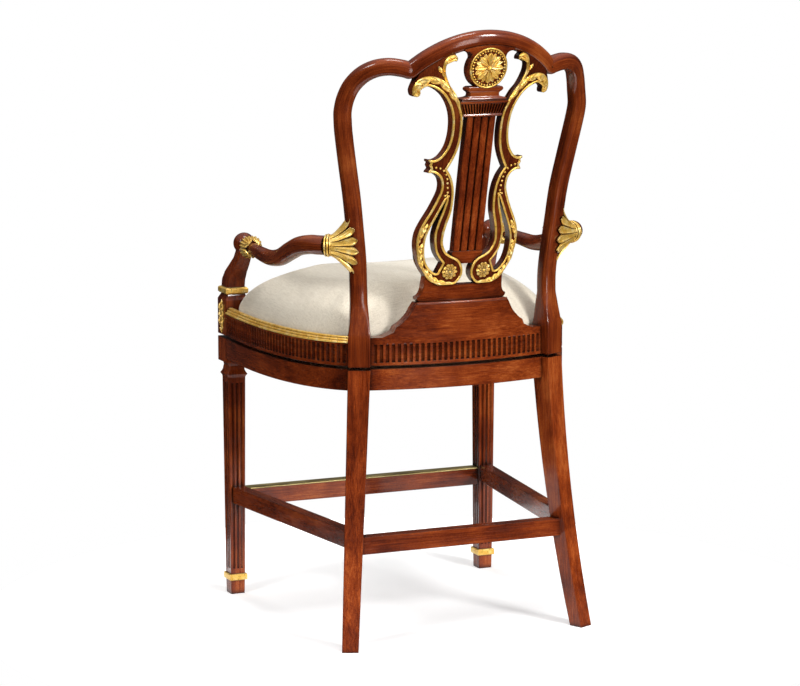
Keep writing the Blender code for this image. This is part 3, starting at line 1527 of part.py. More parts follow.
def make_yoke(seat):
    """The base of the column: a bead over a wedge that fills the space between the volutes."""
    top = yoke_top()
    bead = top - YOKE_BEAD_HEIGHT
    low = drawn([YOKE_FOOT])[0][1]
    gap = 2 * CLEARANCE
    half = [(scroll_inner_edge(low) - gap, low)]
    half += [(x - gap, z) for x, z in inner_edge() if low < z < bead]
    wide = min(YOKE_BEAD_HALF_WIDTH, scroll_inner_edge(bead) - gap)
    round_off = YOKE_BEAD_HEIGHT / 4
    half += [(wide - round_off, bead), (wide, bead + round_off)]
    half += [(wide, top - round_off), (wide - round_off, top)]
    shape = plate([symmetric(half)], -SPLAT_FRONT, -YOKE_SETBACK)
    add("lyre_yoke", on_splat(shape), "mahogany", seat)


def medallion_centre():
    return crest_line(0, -CREST_HEIGHT / 2) - MEDALLION_RADIUS


def capital_top():
    return medallion_centre() - MEDALLION_RADIUS - CLEARANCE


def capital_bottom():
    return capital_top() - NECK_BLOCK_HEIGHT - ABACUS_HEIGHT - CAPITAL_HEIGHT - CUP_HEIGHT * 0.6


def make_column(seat):
    """The grooved pilaster between the lyre's scrolls."""
    low = yoke_top() + CLEARANCE
    high = capital_bottom() - CLEARANCE
    pitch = COLUMN_WIDTH / (COLUMN_GROOVES + 1)
    half = COLUMN_GROOVE_WIDTH / 2
    back = -COLUMN_SETBACK
    front = back - COLUMN_THICKNESS
    edge = [(-COLUMN_WIDTH / 2, 0.0)]
    for groove in range(COLUMN_GROOVES):
        x = pitch * (groove + 1) - COLUMN_WIDTH / 2
        for share in (-1, -0.5, 0.5, 1):
            edge.append((x + half * share, -COLUMN_GROOVE_DEPTH if abs(share) < 1 else 0.0))
    edge.append((COLUMN_WIDTH / 2, 0.0))
    outline = [(x, back + out) for x, out in edge] + [(x, front - out) for x, out in edge[::-1]]
    rings = []
    for step in range(4):
        z = blend(low, high, step / 3)
        rings.append([Vector((x, back_face(0, z) + out, z)) for x, out in outline])
    add("lyre_column", skin(rings), "mahogany", seat)


def make_capital(seat):
    """A fluted, flared capital with its abacus, neck and the cup that carries the medallion."""
    low = capital_bottom()
    band = low + CAPITAL_HEIGHT
    abacus = band + ABACUS_HEIGHT
    neck = abacus + NECK_BLOCK_HEIGHT
    wide = CAPITAL_HALF_WIDTH + CAPITAL_FLARE
    profile = [
        (CAPITAL_HALF_WIDTH, low),
        (CAPITAL_HALF_WIDTH + CAPITAL_FLARE * 0.3, low + CAPITAL_HEIGHT * 0.08),
        (wide, band),
        (wide, band + ABACUS_HEIGHT * 0.35),
        (wide - ABACUS_STEP, band + ABACUS_HEIGHT * 0.4),
        (wide - ABACUS_STEP, abacus - ABACUS_HEIGHT * 0.1),
        (NECK_BLOCK_HALF_WIDTH, abacus),
        (NECK_BLOCK_HALF_WIDTH, neck),
    ]
    half = [(min(x, scroll_inner_edge(z) - CLEARANCE), z) for x, z in profile]
    half += [(CUP_HALF_WIDTH, neck + CUP_HEIGHT * 0.75), (CUP_HALF_WIDTH - CUP_LIP, neck + CUP_HEIGHT)]
    reach = MEDALLION_RADIUS + CLEARANCE
    for share in (0.6, 0.4, 0.2, 0.0):
        x = reach * share
        half.append((x, medallion_centre() - math.sqrt(reach**2 - x * x)))
    outline = half + [(-x, z) for x, z in half[-2::-1]]
    shape = plate([outline], -SPLAT_FRONT, -CAPITAL_SETBACK)
    capital = add("lyre_capital", on_splat(shape), "mahogany", seat)
    ends = []
    for out in (-CAPITAL_SETBACK, -SPLAT_FRONT):
        for flute in range(CAPITAL_FLUTES):
            share = (flute + 0.5) / CAPITAL_FLUTES * 2 - 1
            pair = []
            for rise in (0.18, 0.92):
                z = low + CAPITAL_HEIGHT * rise
                x = share * (CAPITAL_HALF_WIDTH + CAPITAL_FLARE * rise * 0.9)
                pair.append(Vector((x, back_face(x, z) + out, z)))
            ends.append(pair)
    cut(capital, cutter("lyre_capital_flutes", rods(ends, CAPITAL_FLUTE_RADIUS, 6), seat))


def make_medallion(seat, crest_tool):
    """The round block under the crest, with ears that run into it, and its gilt flower."""
    middle = medallion_centre()
    outline = []
    for step in range(21):
        turn = math.radians(blend(-205, 25, step / 20))
        outline.append((MEDALLION_RADIUS * math.cos(turn), middle + MEDALLION_RADIUS * math.sin(turn)))
    ear = MEDALLION_EAR
    waist = blend(outline[-1][1], crest_underside(ear), 0.6)
    outline.append((MEDALLION_EAR_WAIST, waist))
    outline += [(x, crest_underside(x)) for x in (ear, ear * 0.5, 0.0, -ear * 0.5, -ear)]
    outline.append((-MEDALLION_EAR_WAIST, waist))
    shape = plate([outline], -SPLAT_FRONT, MEDALLION_PROUD)
    medallion = add("lyre_medallion", on_splat(shape), "mahogany", seat)
    cut(medallion, crest_tool)
    base = MEDALLION_PROUD + CLEARANCE
    petals = flower((0, middle), PATERA_RADIUS, PATERA_HEIGHT, PATERA_PETALS, base)
    add("medallion_patera", on_splat(petals), "gilt", seat)


def empty(name, parent, place):
    frame = bpy.data.objects.new(name, None)
    PARTS.objects.link(frame)
    frame.parent = parent
    frame.location = place
    return frame


def centre_on_origin(base):
    """Moves the chair so that the origin is below the middle of its depth."""
    bpy.context.view_layer.update()
    graph = bpy.context.evaluated_depsgraph_get()
    depths = []
    for piece in PARTS.objects:
        if piece.type == "MESH":
            corners = piece.evaluated_get(graph).bound_box
            depths += [(piece.matrix_world @ Vector(corner)).y for corner in corners]
    base.location.y -= (min(depths) + max(depths)) / 2


def main():
    base = empty("base_frame", None, (0, 0, 0))
    seat = empty("seat_swivel", base, (0, 0, SEAT_BOTTOM))
    leg_tools = make_legs(base)
    make_base_rails(base, leg_tools)
    make_stretchers(base, leg_tools)
    make_swivel(base, seat)
    frame_tools = make_back_frame(seat)
    make_seat_rails(seat, frame_tools)
    make_deck(seat)
    make_cushion(seat)
    make_arms(seat, frame_tools)
    make_plinth(seat)
    make_scrolls(seat, frame_tools["crest"])
    make_yoke(seat)
    make_column(seat)
    make_capital(seat)
    make_medallion(seat, frame_tools["crest"])
    centre_on_origin(base)


main()
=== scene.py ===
"""Looks of the neoclassical counter chair: finishes, carving, gilding and the linen cushion.

Metres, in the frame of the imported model: +Z up, +X to the sitter's left, and the chair faces -Y.
Heights of the seat's pieces are drawn from the underside of the seat rails.
"""

import json
from math import atan2, copysign, cos, exp, hypot, pi, radians, sin, sqrt, tan

import bmesh
import bpy
from mathutils import Matrix, Vector

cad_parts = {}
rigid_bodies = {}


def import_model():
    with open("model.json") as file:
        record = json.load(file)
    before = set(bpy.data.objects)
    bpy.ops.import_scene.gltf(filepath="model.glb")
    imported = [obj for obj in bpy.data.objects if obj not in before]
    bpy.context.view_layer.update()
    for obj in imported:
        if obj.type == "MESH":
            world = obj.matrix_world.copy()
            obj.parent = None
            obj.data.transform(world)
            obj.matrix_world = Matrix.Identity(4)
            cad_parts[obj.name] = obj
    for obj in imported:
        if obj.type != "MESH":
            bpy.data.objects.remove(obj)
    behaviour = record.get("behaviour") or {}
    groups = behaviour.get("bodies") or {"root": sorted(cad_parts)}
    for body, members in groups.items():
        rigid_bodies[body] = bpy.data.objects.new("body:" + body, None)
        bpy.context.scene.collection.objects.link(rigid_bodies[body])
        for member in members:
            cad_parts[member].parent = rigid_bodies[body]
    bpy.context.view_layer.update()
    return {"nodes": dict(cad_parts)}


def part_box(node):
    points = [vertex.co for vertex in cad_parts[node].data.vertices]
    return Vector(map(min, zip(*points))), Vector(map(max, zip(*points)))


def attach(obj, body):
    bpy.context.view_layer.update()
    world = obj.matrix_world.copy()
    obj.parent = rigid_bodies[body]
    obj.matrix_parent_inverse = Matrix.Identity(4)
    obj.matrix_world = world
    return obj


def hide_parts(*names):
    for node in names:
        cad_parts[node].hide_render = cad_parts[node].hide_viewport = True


for old in list(bpy.data.objects):
    bpy.data.objects.remove(old, do_unlink=True)

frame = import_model()
NODES = frame["nodes"]
UP = Vector((0, 0, 1))
MM_PER_M = 1000

# Plan, from the swivel's axis
FRONT_LEG_X = 0.273
FRONT_LEG_Y = -0.231
BLOCK_HALF = 0.024
BACK_POST_X = 0.194
BACK_POST_Y = 0.220
BACK_POST_TURN = radians(24)
BACK_POST_WIDTH = 0.042
BACK_POST_DEPTH = 0.040
SEAT_BOTTOM = 0.525
SEAT_RAIL_HEIGHT = 0.043
SHIFT = sum(corner.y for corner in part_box("front_left_leg")) / 2 - FRONT_LEG_Y
SIDES = (("left", 1), ("right", -1))

# Back
STILE_WIDTH = 0.033
STILE_DEPTH = 0.030
STILE_BLOCK_HEIGHT = 0.058
STILE_SQUARE = 2.9
STILE_TURN = radians(14)
STILE_JOINT_HEIGHT = 0.460
CREST_TOP = 0.625
CREST_HEIGHT = 0.031
CREST_DEPTH = 0.028
CREST_HALF_SPAN = 0.1414
CREST_RISE = 0.060
SHOULDER_RISE = 0.0105
PANEL_TOP = 0.1163
PANEL_END_HEIGHT = 0.053
PANEL_HALF_WIDTH = 0.0922
PANEL_COVE_WIDTH = 0.062
PANEL_COVES = (
    ((0.00, 1.00), (0.10, 0.84), (0.22, 0.63), (0.42, 0.42), (0.60, 0.30)),
    ((0.67, 0.15), (0.84, 0.07), (1.00, 0.00)),
)
PANEL_CUTS = 32
PLINTH_HEIGHT = 0.0318
PLINTH_TOP = 0.1484
PLINTH_HALF_WIDTH = 0.080
PLINTH_FLARE = 0.0105
PLINTH_CHEEK = 0.022
PLINTH_SETBACK = 0.003
SCROLL_THICKNESS = 0.020
SCROLL_BITE = 0.004
GILDING_STOP = 0.010
MEDALLION_RADIUS = 0.038
MEDALLION_PROUD = 0.002
MEDALLION_ARC = (-90, 29)
MEDALLION_STEPS = 40
MEDALLION_EAR = ((33.4, 22), (35.4, 26.6), (39.6, 29.8), (45, 31.0), (50, 31.6))

# Height, then how far the stile stands out and back
STILE_COURSE = (
    (0.000, 0.0000, 0.0000), (0.058, 0.0000, 0.0000), (0.100, -0.0005, -0.0025),
    (0.150, 0.0000, -0.0040), (0.195, 0.0030, -0.0005), (0.255, 0.0100, 0.0035),
    (0.315, 0.0175, 0.0071), (0.375, 0.0285, 0.0138), (0.435, 0.0396, 0.0223),
    (0.460, 0.0432, 0.0268),
)
# Shares of the way in, up and back from the stile to the crest
SHOULDER_COURSE = (
    (0.000, 0.00, 0.000), (-0.010, 0.17, 0.030), (0.030, 0.405, 0.083), (0.110, 0.64, 0.223),
    (0.245, 0.84, 0.448), (0.430, 0.96, 0.663), (0.650, 1.00, 0.835), (0.880, 0.97, 0.954),
    (1.000, 0.935, 1.000),
)
# Share of the way from the ball to the stile, then how far out and up the arm lies, and its radius
ARM_COURSE = (
    (0.190, 0.0097, -0.0104, 0.0118), (0.319, 0.0150, -0.0187, 0.0135),
    (0.448, 0.0173, -0.0251, 0.0150), (0.576, 0.0191, -0.0229, 0.0165),
    (0.700, 0.0204, -0.0111, 0.0176), (0.816, 0.0210, -0.0009, 0.0178),
    (0.911, 0.0158, 0.0022, 0.0180), (0.962, 0.0095, 0.0012, 0.0180),
)
KNOB_RADIUS = 0.0210
KNOB = Vector((0.267, -0.184, 0.185))
COLLAR_OFFSET = Vector((0.053, -0.0175, 0.0415))
ARM_END_RADIUS = 0.0180

# The column, and the capital's profile: millimetres of height, half width and how far it stands proud
COLUMN_WIDTH = 0.060
COLUMN_THICKNESS = 0.017
COLUMN_SETBACK = 0.005
COLUMN_REEDS = 4
REED_STEPS = 10
REED_RISE = 0.0022
REED_GAP = 0.0026
GROOVE_DEPTH = 0.0019
SPLAT_FRONT = 0.022
LEDGE_RADIUS = 0.0026
LEDGE_SIDES = 16
LEDGE_REACH = 0.0006
CAPITAL_FLUTES = 16
FLUTE_STEPS = 8
FLUTE_ROWS = 14
FLUTE_DEPTH = 3.4
FLUTE_SHARE = 0.30
FLUTES_FROM = 5.0
FLUTES_TO = 24.4
CAPITAL_PROFILE = (
    (0.0, 36.5, 0.2), (0.7, 38.0, 1.4), (1.8, 38.9, 2.2), (3.2, 39.0, 2.0), (4.2, 38.6, 1.2),
    (FLUTES_FROM, 38.8, 0.9), (FLUTES_TO, 46.6, 1.8), (24.9, 47.4, 2.9), (27.2, 48.0, 3.4),
    (28.6, 47.8, 3.0), (29.2, 44.4, 0.8), (30.6, 43.8, 0.5), (31.4, 44.6, 1.8), (33.2, 44.4, 2.4),
    (35.0, 42.6, 1.6), (36.4, 34.0, 0.4), (38.0, 29.4, -0.2), (41.0, 28.5, -0.7), (44.0, 28.8, -0.6),
    (45.8, 30.4, 0.0), (47.6, 33.0, 0.9), (49.6, 34.8, 1.4), (52.0, 35.2, 1.5), (54.2, 34.2, 1.2),
    (55.8, 31.8, 0.4), (56.4, 29.0, -0.4),
)

# The left lyre scroll, in millimetres out from the lyre's middle line and up from the plinth
SCROLL_CURL = (
    (132, 388), (136, 375), (136.6, 367), (133.5, 360), (128, 356.6), (123, 358.5), (121.5, 363.5),
    (122.5, 368),
)
SCROLL_WAIST = (
    (122.5, 368), (117.5, 372.8), (108, 375.8), (92, 369.5), (77, 356.5), (65, 336.5), (58.5, 313.5),
    (57.5, 286.5), (62, 263.5), (72, 246.5), (82.5, 239.4), (90.5, 239.2),
)
SCROLL_CUSP = (
    (90.5, 239.2), (94.4, 240), (94.6, 237.6), (91.6, 233.4), (92.6, 228.4), (89.8, 223), (93.2, 217.8),
    (93.2, 215), (89.5, 214.6),
)
SCROLL_BODY = (
    (89.5, 214.6), (82, 214), (71.5, 206.5), (66.5, 193.5), (67, 179.5), (73, 162.5), (82, 142.5),
    (92.5, 122.5), (100.5, 102.5), (102.5, 82.5), (99.5, 61.5), (93, 41.5), (83, 23.5), (67, 7),
    (46, -1.5), (23, 0.5), (10.5, 13.5), (8, 27.5), (13, 41.5), (21.5, 50), (32, 55),
)
SCROLL_STRAND = (
    (32, 55), (44, 63.5), (51.5, 78.5), (52, 94.5), (48.5, 114.5), (42, 138.5), (40, 162.5),
    (42, 185.5), (48.5, 205.5), (58, 220.5),
)
SCROLL_NECK = (
    (58, 220.5), (47, 242.5), (40, 265.5), (37.8, 292.5), (39.8, 319.5), (47, 339.5), (56, 355),
    (67, 372.5), (75.6, 387), (79.7, 397), (81, 405.5), (80.5, 413), (77.3, 420), (73, 424.6),
    (68.6, 425.2), (65.6, 421.4), (61.8, 421.6), (60.8, 427), (64.5, 432), (67, 437),
)
SCROLL_TOP = (67, 126)
TOP_STEPS = 8
SLOT_OUTER = (
    (53, 165.5), (59.5, 152.5), (70, 129.5), (81, 105.5), (86, 85.5), (85.5, 61.5), (79, 40.5),
    (64.5, 25), (56.5, 24.5),
)
SLOT_INNER = (
    (49.5, 42.5), (58.5, 53.5), (66, 68.5), (70, 94.5), (66, 118.5), (58.5, 142.5), (53, 165.5),
)
ROSETTE_CENTRE = (34.5, 25.5)


# Curves and bodies


def shares(count):
    """Even shares from 0 to 1, both included."""
    return [step / count for step in range(count + 1)]


def curve_through(points, steps=8):
    """A smooth run through the points, with this many pieces between each two of them."""
    ends = [points[0], *points, points[-1]]
    run = []
    for before, start, stop, after in zip(ends, ends[1:], ends[2:], ends[3:]):
        for t in shares(steps)[:-1]:
            run.append(tuple(
                0.5 * (2 * b + (c - a) * t + (2 * a - 5 * b + 4 * c - d) * t**2
                       + (3 * b - a - 3 * c + d) * t**3)
                for a, b, c, d in zip(before, start, stop, after)
            ))
    return run + [tuple(points[-1])]


def blend(start, stop, share):
    return start + (stop - start) * share


def read_run(run, value):
    """The rest of a row of the run, at this value of its first column."""
    for low, high in zip(run, run[1:]):
        if value <= high[0]:
            break
    share = (value - low[0]) / (high[0] - low[0])
    return [blend(a, b, share) for a, b in zip(low[1:], high[1:])]


def section(width, depth, power, count):
    """A rounded section: a high power makes it square, and 2 makes it an ellipse."""
    points = []
    for step in range(count):
        turn = 2 * pi * (step + 0.5) / count
        across, through = (copysign(abs(part) ** (2 / power), part) for part in (cos(turn), sin(turn)))
        points.append((across * width / 2, through * depth / 2))
    return points


def skin(shape, rings, closed=False):
    """Adds a body over rings of points: capped at its ends, or closed on itself."""
    loops = [[shape.verts.new(point) for point in ring] for ring in rings]
    count = len(loops[0])
    for low, high in zip(loops, loops[1:] + loops[:1] if closed else loops[1:]):
        for here in range(count):
            there = (here + 1) % count
            shape.faces.new((low[here], low[there], high[there], high[here]))
    if not closed:
        shape.faces.new(loops[0][::-1])
        shape.faces.new(loops[-1])


def skinned(rings):
    shape = bmesh.new()
    skin(shape, rings)
    return shape


def neighbours(path, here):
    return path[max(here - 1, 0)], path[min(here + 1, len(path) - 1)]


def straightened(path, sections):
    """Places of a sweep's points in the straight bar that it was bent from, for the grain."""
    length = 0.0
    places = []
    for here, outline in enumerate(sections):
        length += (path[here] - path[max(here - 1, 0)]).length
        places += [(across, through, length) for across, through in outline]
    return places


def sweep(path, normals, sections):
    """Rings of the given sections along a path, each with its depth towards its normal."""
    rings = []
    for place, centre in enumerate(path):
        before, after = neighbours(path, place)
        along = (after - before).normalized()
        through = (normals[place] - along * normals[place].dot(along)).normalized()
        across = along.cross(through)
        rings.append([centre + across * a + through * b for a, b in sections[place]])
    return rings


BALL_TURN = Vector((0, 1, 0)).to_track_quat("Z", "Y").to_matrix().to_4x4()


def ball(shape, centre, radius, count=12):
    place = Matrix.Translation(centre) @ BALL_TURN
    bmesh.ops.create_uvsphere(
        shape, u_segments=count, v_segments=count * 2 // 3, radius=radius, matrix=place
    )


def sheet(shape, grid):
    """Adds a sheet over rows of points."""
    rows = [[shape.verts.new(point) for point in row] for row in grid]
    for low, high in zip(rows, rows[1:]):
        for here in range(len(low) - 1):
            shape.faces.new((low[here], low[here + 1], high[here + 1], high[here]))


def copied(node):
    """A node's mesh, with its doubled points joined."""
    shape = bmesh.new()
    shape.from_mesh(NODES[node].data)
    bmesh.ops.remove_doubles(shape, verts=shape.verts, dist=1e-6)
    return shape


def add(name, shape, finish, body="seat", stands_for=(), angle=60, grain=None):
    """Makes a piece of the shape, on its body and in the place of the nodes that it stands for."""
    bmesh.ops.recalc_face_normals(shape, faces=shape.faces)
    mesh = bpy.data.meshes.new(name)
    shape.to_mesh(mesh)
    shape.free()
    mesh.materials.append(FINISHES[finish])
    mesh.shade_smooth()
    mesh.set_sharp_from_angle(angle=radians(angle))
    if grain:
        along = mesh.attributes.new("grain", "FLOAT_VECTOR", "POINT")
        for spot, place in zip(along.data, grain):
            spot.vector = place
    piece = bpy.data.objects.new(name, mesh)
    bpy.context.scene.collection.objects.link(piece)
    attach(piece, body)
    if stands_for:
        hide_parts(*stands_for)
    return piece


def in_seat(x, y, z):
    return Vector((x, y + SHIFT, z + SEAT_BOTTOM))


def seated(points, side):
    """Points of the left half, in the seat's place, on this side of the chair."""
    return [in_seat(side * p.x, p.y, p.z) for p in points]


# Finishes


class Value:
    """A node's output: sums, differences and products of it add nodes to its tree."""

    def __init__(self, nodes, socket):
        self.nodes = nodes
        self.socket = socket

    def __add__(self, other):
        return self.nodes.math("ADD", self, other)

    def __sub__(self, other):
        return self.nodes.math("SUBTRACT", self, other)

    def __mul__(self, other):
        return self.nodes.math("MULTIPLY", self, other)


class Nodes:
    """The nodes of a material or a world: each call adds one, and most give back its output."""

    def __init__(self, owner):
        owner.use_nodes = True
        self.owner = owner
        self.tree = owner.node_tree

    def give(self, socket, value):
        if isinstance(value, Value):
            self.tree.links.new(value.socket, socket)
        else:
            socket.default_value = value

    def node(self, kind, settings=None, **inputs):
        made = self.tree.nodes.new(f"ShaderNode{kind}")
        for key, value in (settings or {}).items():
            setattr(made, key, value)
        for key, value in inputs.items():
            self.give(made.inputs[key.replace("_", " ")], value)
        return made

    def read(self, output, kind, settings=None, **inputs):
        return Value(self, self.node(kind, settings, **inputs).outputs[output])

    def math(self, operation, *values, kind="Math"):
        made = self.node(kind, {"operation": operation})
        for socket, value in zip(made.inputs, values):
            self.give(socket, value)
        return Value(self, made.outputs["Value"])

    def spread(self, value, low, high, start=0.0, stop=1.0):
        made = self.node("MapRange")
        for socket, given in zip(made.inputs, (value, low, high, start, stop)):
            self.give(socket, given)
        return Value(self, made.outputs[0])

    def ray(self, name):
        return self.read(name, "LightPath")


class Finish(Nodes):
    """A material under construction, whose patterns follow the object or a bent piece's grain."""

    def __init__(self, name, metallic, specular, bent=False):
        super().__init__(bpy.data.materials.new(name))
        self.set(Metallic=metallic, Specular_IOR_Level=specular)
        if bent:
            self.place = self.read("Vector", "Attribute", {"attribute_name": "grain"})
        else:
            self.place = self.read("Object", "TexCoord")

    def set(self, **inputs):
        shader = self.tree.nodes["Principled BSDF"]
        for key, value in inputs.items():
            self.give(shader.inputs[key.replace("_", " ")], value)

    def scaled(self, scale):
        return self.read("Vector", "Mapping", Vector=self.place, Scale=scale)

    def noise(self, scale=1.0, detail=4.0, roughness=0.55, distortion=0.0, place=None):
        return self.read(
            "Fac", "TexNoise", Vector=place or self.place, Scale=scale, Detail=detail, Roughness=roughness,
            Distortion=distortion,
        )

    def streaks(self, scale, **settings):
        """Noise drawn out along the axes whose scale is low."""
        return self.noise(place=self.scaled(scale), **settings)

    def ramp(self, value, stops, shade=1.0):
        made = self.node("ValToRGB", Fac=value)
        points = made.color_ramp.elements
        while len(points) < len(stops):
            points.new(0.5)
        for point, (position, colour) in zip(points, stops):
            point.position = position
            point.color = (*(part * shade for part in colour), 1)
        return Value(self, made.outputs[0])

    def mix(self, share, first, second):
        """The first colour, with this share of the second, which is plain."""
        made = self.node("Mix", {"data_type": "RGBA"})
        for place, given in ((0, share), (6, first), (7, (*second, 1))):
            self.give(made.inputs[place], given)
        return Value(self, made.outputs[2])

    def rounded(self, radius):
        return self.read("Normal", "Bevel", {"samples": 6}, Radius=radius)

    def edges(self, radius):
        """Share of edge: high where the surface turns a corner within the radius, for worn edges, and on
        the mahogany for painted shade and a painted highlight along its edges.
        """
        flat = self.read("Normal", "NewGeometry")
        turn = self.math("DOT_PRODUCT", self.rounded(radius), flat, kind="VectorMath")
        return self.spread(turn, 0.985, 0.80)

    def recess(self, reach):
        """Share of painted shade, from ambient occlusion: high in corners and grooves."""
        return self.spread(self.read("AO", "AmbientOcclusion", {"samples": 8}, Distance=reach), 0.94, 0.48)

    def finish(self, colour, roughness, height, strength, depth, ease):
        bump = self.read(
            "Normal", "Bump", Strength=strength, Distance=depth, Height=height, Normal=self.rounded(ease)
        )
        self.set(Base_Color=colour, Roughness=roughness, Normal=bump)
        return self.owner


MAHOGANY = (
    (0.36, (0.036, 0.0040, 0.0009)), (0.46, (0.120, 0.0168, 0.0030)),
    (0.54, (0.222, 0.0370, 0.0062)), (0.66, (0.430, 0.1120, 0.0240)),
)
# The colour that darker copies of the mahogany are mixed towards.
DARKER_TONE = (0.026, 0.0046, 0.0018)
# Dark toning along the mahogany's edges, which also serves as painted shade there.
DARK_EDGE_TONE_AND_SHADE = (0.024, 0.0042, 0.0014)
# Lighter, worn colour on the sharpest edges, which also serves as a painted highlight along them.
RUBBED_WOOD_AND_HIGHLIGHT = (0.36, 0.120, 0.036)
# Painted shade: the colour that recesses, grooves and gaps in the mahogany are darkened to.
PAINTED_SHADE_WOOD = (0.012, 0.0024, 0.0010)
SPECK = (0.006, 0.003, 0.002)
GOLD = ((0.30, (0.80, 0.43, 0.062)), (0.50, (1.00, 0.62, 0.125)), (0.72, (1.06, 0.83, 0.360)))
BURNISHED_GOLD = (1.0, 0.83, 0.46)
RED_BOLE = (0.30, 0.085, 0.030)
# Painted shade: the brown that gilt recesses are darkened to.
PAINTED_SHADE_GOLD = (0.180, 0.070, 0.009)
BRASS = ((0.35, (0.30, 0.22, 0.075)), (0.55, (0.52, 0.41, 0.16)), (0.75, (0.66, 0.54, 0.26)))
BRIGHT_BRASS = (0.80, 0.68, 0.38)
LINEN = ((0.45, (0.480, 0.420, 0.325)), (0.68, (0.670, 0.605, 0.490)), (0.90, (0.790, 0.735, 0.620)))
LINEN_CLOUD = (0.57, 0.515, 0.420)
THREAD = 0.00125
STEEL = ((0.35, (0.075, 0.076, 0.078)), (0.70, (0.15, 0.15, 0.155)))
# Painted shade: the colour that steel recesses are darkened to.
PAINTED_SHADE_STEEL = (0.02, 0.018, 0.016)
# Dark, aged softwood, whose colour is partly its age and partly painted shade, so that the gap under the
# seat rail reads dark.
SOFTWOOD = ((0.35, (0.050, 0.026, 0.012)), (0.55, (0.085, 0.046, 0.022)), (0.75, (0.120, 0.070, 0.036)))
# Painted shade: the colour that softwood recesses are darkened to.
PAINTED_SHADE_SOFTWOOD = (0.015, 0.008, 0.004)


def mahogany(name, stretch, bent=False, darkening=0.0, lift=1.0):
    """Polished mahogany: streaked grain, soft figure, dark specks, painted shade in the hollows, dark
    toning and painted shade along the edges, and lighter worn edges with a painted highlight.

    The grain runs along the axis whose stretch is 0."""
    made = Finish(name, 0.0, 0.12, bent)
    made.set(Coat_Weight=0.46, Coat_Roughness=0.10)
    grain = made.streaks([520 if s else 14 for s in stretch], detail=6, roughness=0.65)
    figure = made.streaks([60 if s else 3.5 for s in stretch], detail=3, distortion=0.8)
    fleck = (made.noise(700, 3) - 0.5) * (0.20 * lift)
    tone = grain * 0.34 + figure * 0.26 + made.noise(9, 3) * 0.40 + fleck
    colour = made.mix(darkening, made.ramp(tone, MAHOGANY, lift), DARKER_TONE)
    edge_patches = made.spread(made.noise(60, 3), 0.38, 0.60)
    # Dark toning and painted shade along the edges, in patches.
    colour = made.mix(made.edges(0.0034) * made.spread(edge_patches, 0.0, 1.0, 0.35, 0.75), colour, DARK_EDGE_TONE_AND_SHADE)
    # Worn, lighter colour with a painted highlight on the sharpest edges, in patches.
    colour = made.mix(made.edges(0.0008) * made.spread(edge_patches, 0.6, 1.0, 0.0, 0.45), colour, RUBBED_WOOD_AND_HIGHLIGHT)
    # Painted shade: darkens the wood in corners, grooves and gaps.
    colour = made.mix(made.recess(0.012) * 0.92, colour, PAINTED_SHADE_WOOD)
    dots = made.read("Distance", "TexVoronoi", Vector=made.place, Scale=330)
    speck = made.spread(dots, 0.20, 0.12) * made.spread(made.noise(26, 2), 0.54, 0.66)
    colour = made.mix(speck * 0.8, colour, SPECK)
    smear = made.streaks([70 if s else 9 for s in stretch])
    roughness = made.spread(smear, 0.3, 0.7, 0.18, 0.34) + speck * 0.2
    return made.finish(colour, roughness, grain - speck * 1.5, 0.12, 0.0004, 0.0010)


def gilt(name, shade, hollow_shade):
    """Burnished gold leaf: bright on the high parts, brown painted shade in the hollows, red where it is
    rubbed.
    """
    made = Finish(name, 0.55, 0.4)
    tone = made.noise(85)
    colour = made.mix(made.edges(0.0012) * 0.5, made.ramp(tone, GOLD, shade), BURNISHED_GOLD)
    colour = made.mix(made.spread(made.noise(150, 5), 0.66, 0.72, 0.0, 0.38), colour, RED_BOLE)
    # Painted shade: brown in the gilt's recesses, by the share given.
    colour = made.mix(made.recess(0.0045) * hollow_shade, colour, PAINTED_SHADE_GOLD)
    roughness = made.spread(made.noise(240, 3), 0.3, 0.7, 0.24, 0.42)
    return made.finish(colour, roughness, tone + made.noise(900, 3) * 0.4, 0.25, 0.0004, 0.0005)


def brass():
    """A worn brass strip, brushed lengthways and dulled where shoes have rubbed it."""
    made = Finish("brass", 1.0, 0.5)
    brush = made.streaks((10, 700, 700))
    dull = made.streaks((14, 60, 60))
    colour = made.mix(made.edges(0.0010) * 0.5, made.ramp(dull, BRASS), BRIGHT_BRASS)
    roughness = made.spread(brush + dull, 0.7, 1.3, 0.28, 0.50)
    return made.finish(colour, roughness, brush, 0.12, 0.0003, 0.0006)


def linen():
    """Plain-weave linen: two crossing threads, slubs that run along them, and soft shading."""
    made = Finish("linen", 0.0, 0.25)
    made.set(Sheen_Weight=0.30, Sheen_Roughness=0.45)
    wobble = made.noise(140, 2) * 0.0007
    threads = []
    for axis, lean in (("X", 0.35), ("Y", 0.94)):
        run, rise = (made.read(name, "SeparateXYZ", Vector=made.place) for name in (axis, "Z"))
        threads.append(made.math("SINE", (run + rise * lean + wobble) * (2 * pi / THREAD)))
    weave = threads[0] * threads[1]
    slub = made.streaks((900, 40, 300), detail=3) + made.streaks((40, 900, 300), detail=3)
    mottle = made.noise(420)
    colour = made.ramp(slub * 0.5 + mottle * 0.35 + weave * 0.05, LINEN)
    colour = made.mix(made.spread(made.noise(9, 3), 0.35, 0.65, 0.0, 0.14), colour, LINEN_CLOUD)
    roughness = made.spread(mottle, 0.3, 0.7, 0.84, 0.98)
    return made.finish(colour, roughness, weave * 0.5 + slub, 0.35, 0.0005, 0.0004)


def steel():
    made = Finish("steel", 1.0, 0.5)
    spot = made.noise(120, 5)
    # Painted shade in the steel's recesses, from ambient occlusion.
    colour = made.mix(made.recess(0.004), made.ramp(spot, STEEL), PAINTED_SHADE_STEEL)
    return made.finish(colour, made.spread(spot, 0.3, 0.7, 0.30, 0.48), spot, 0.10, 0.0003, 0.0005)


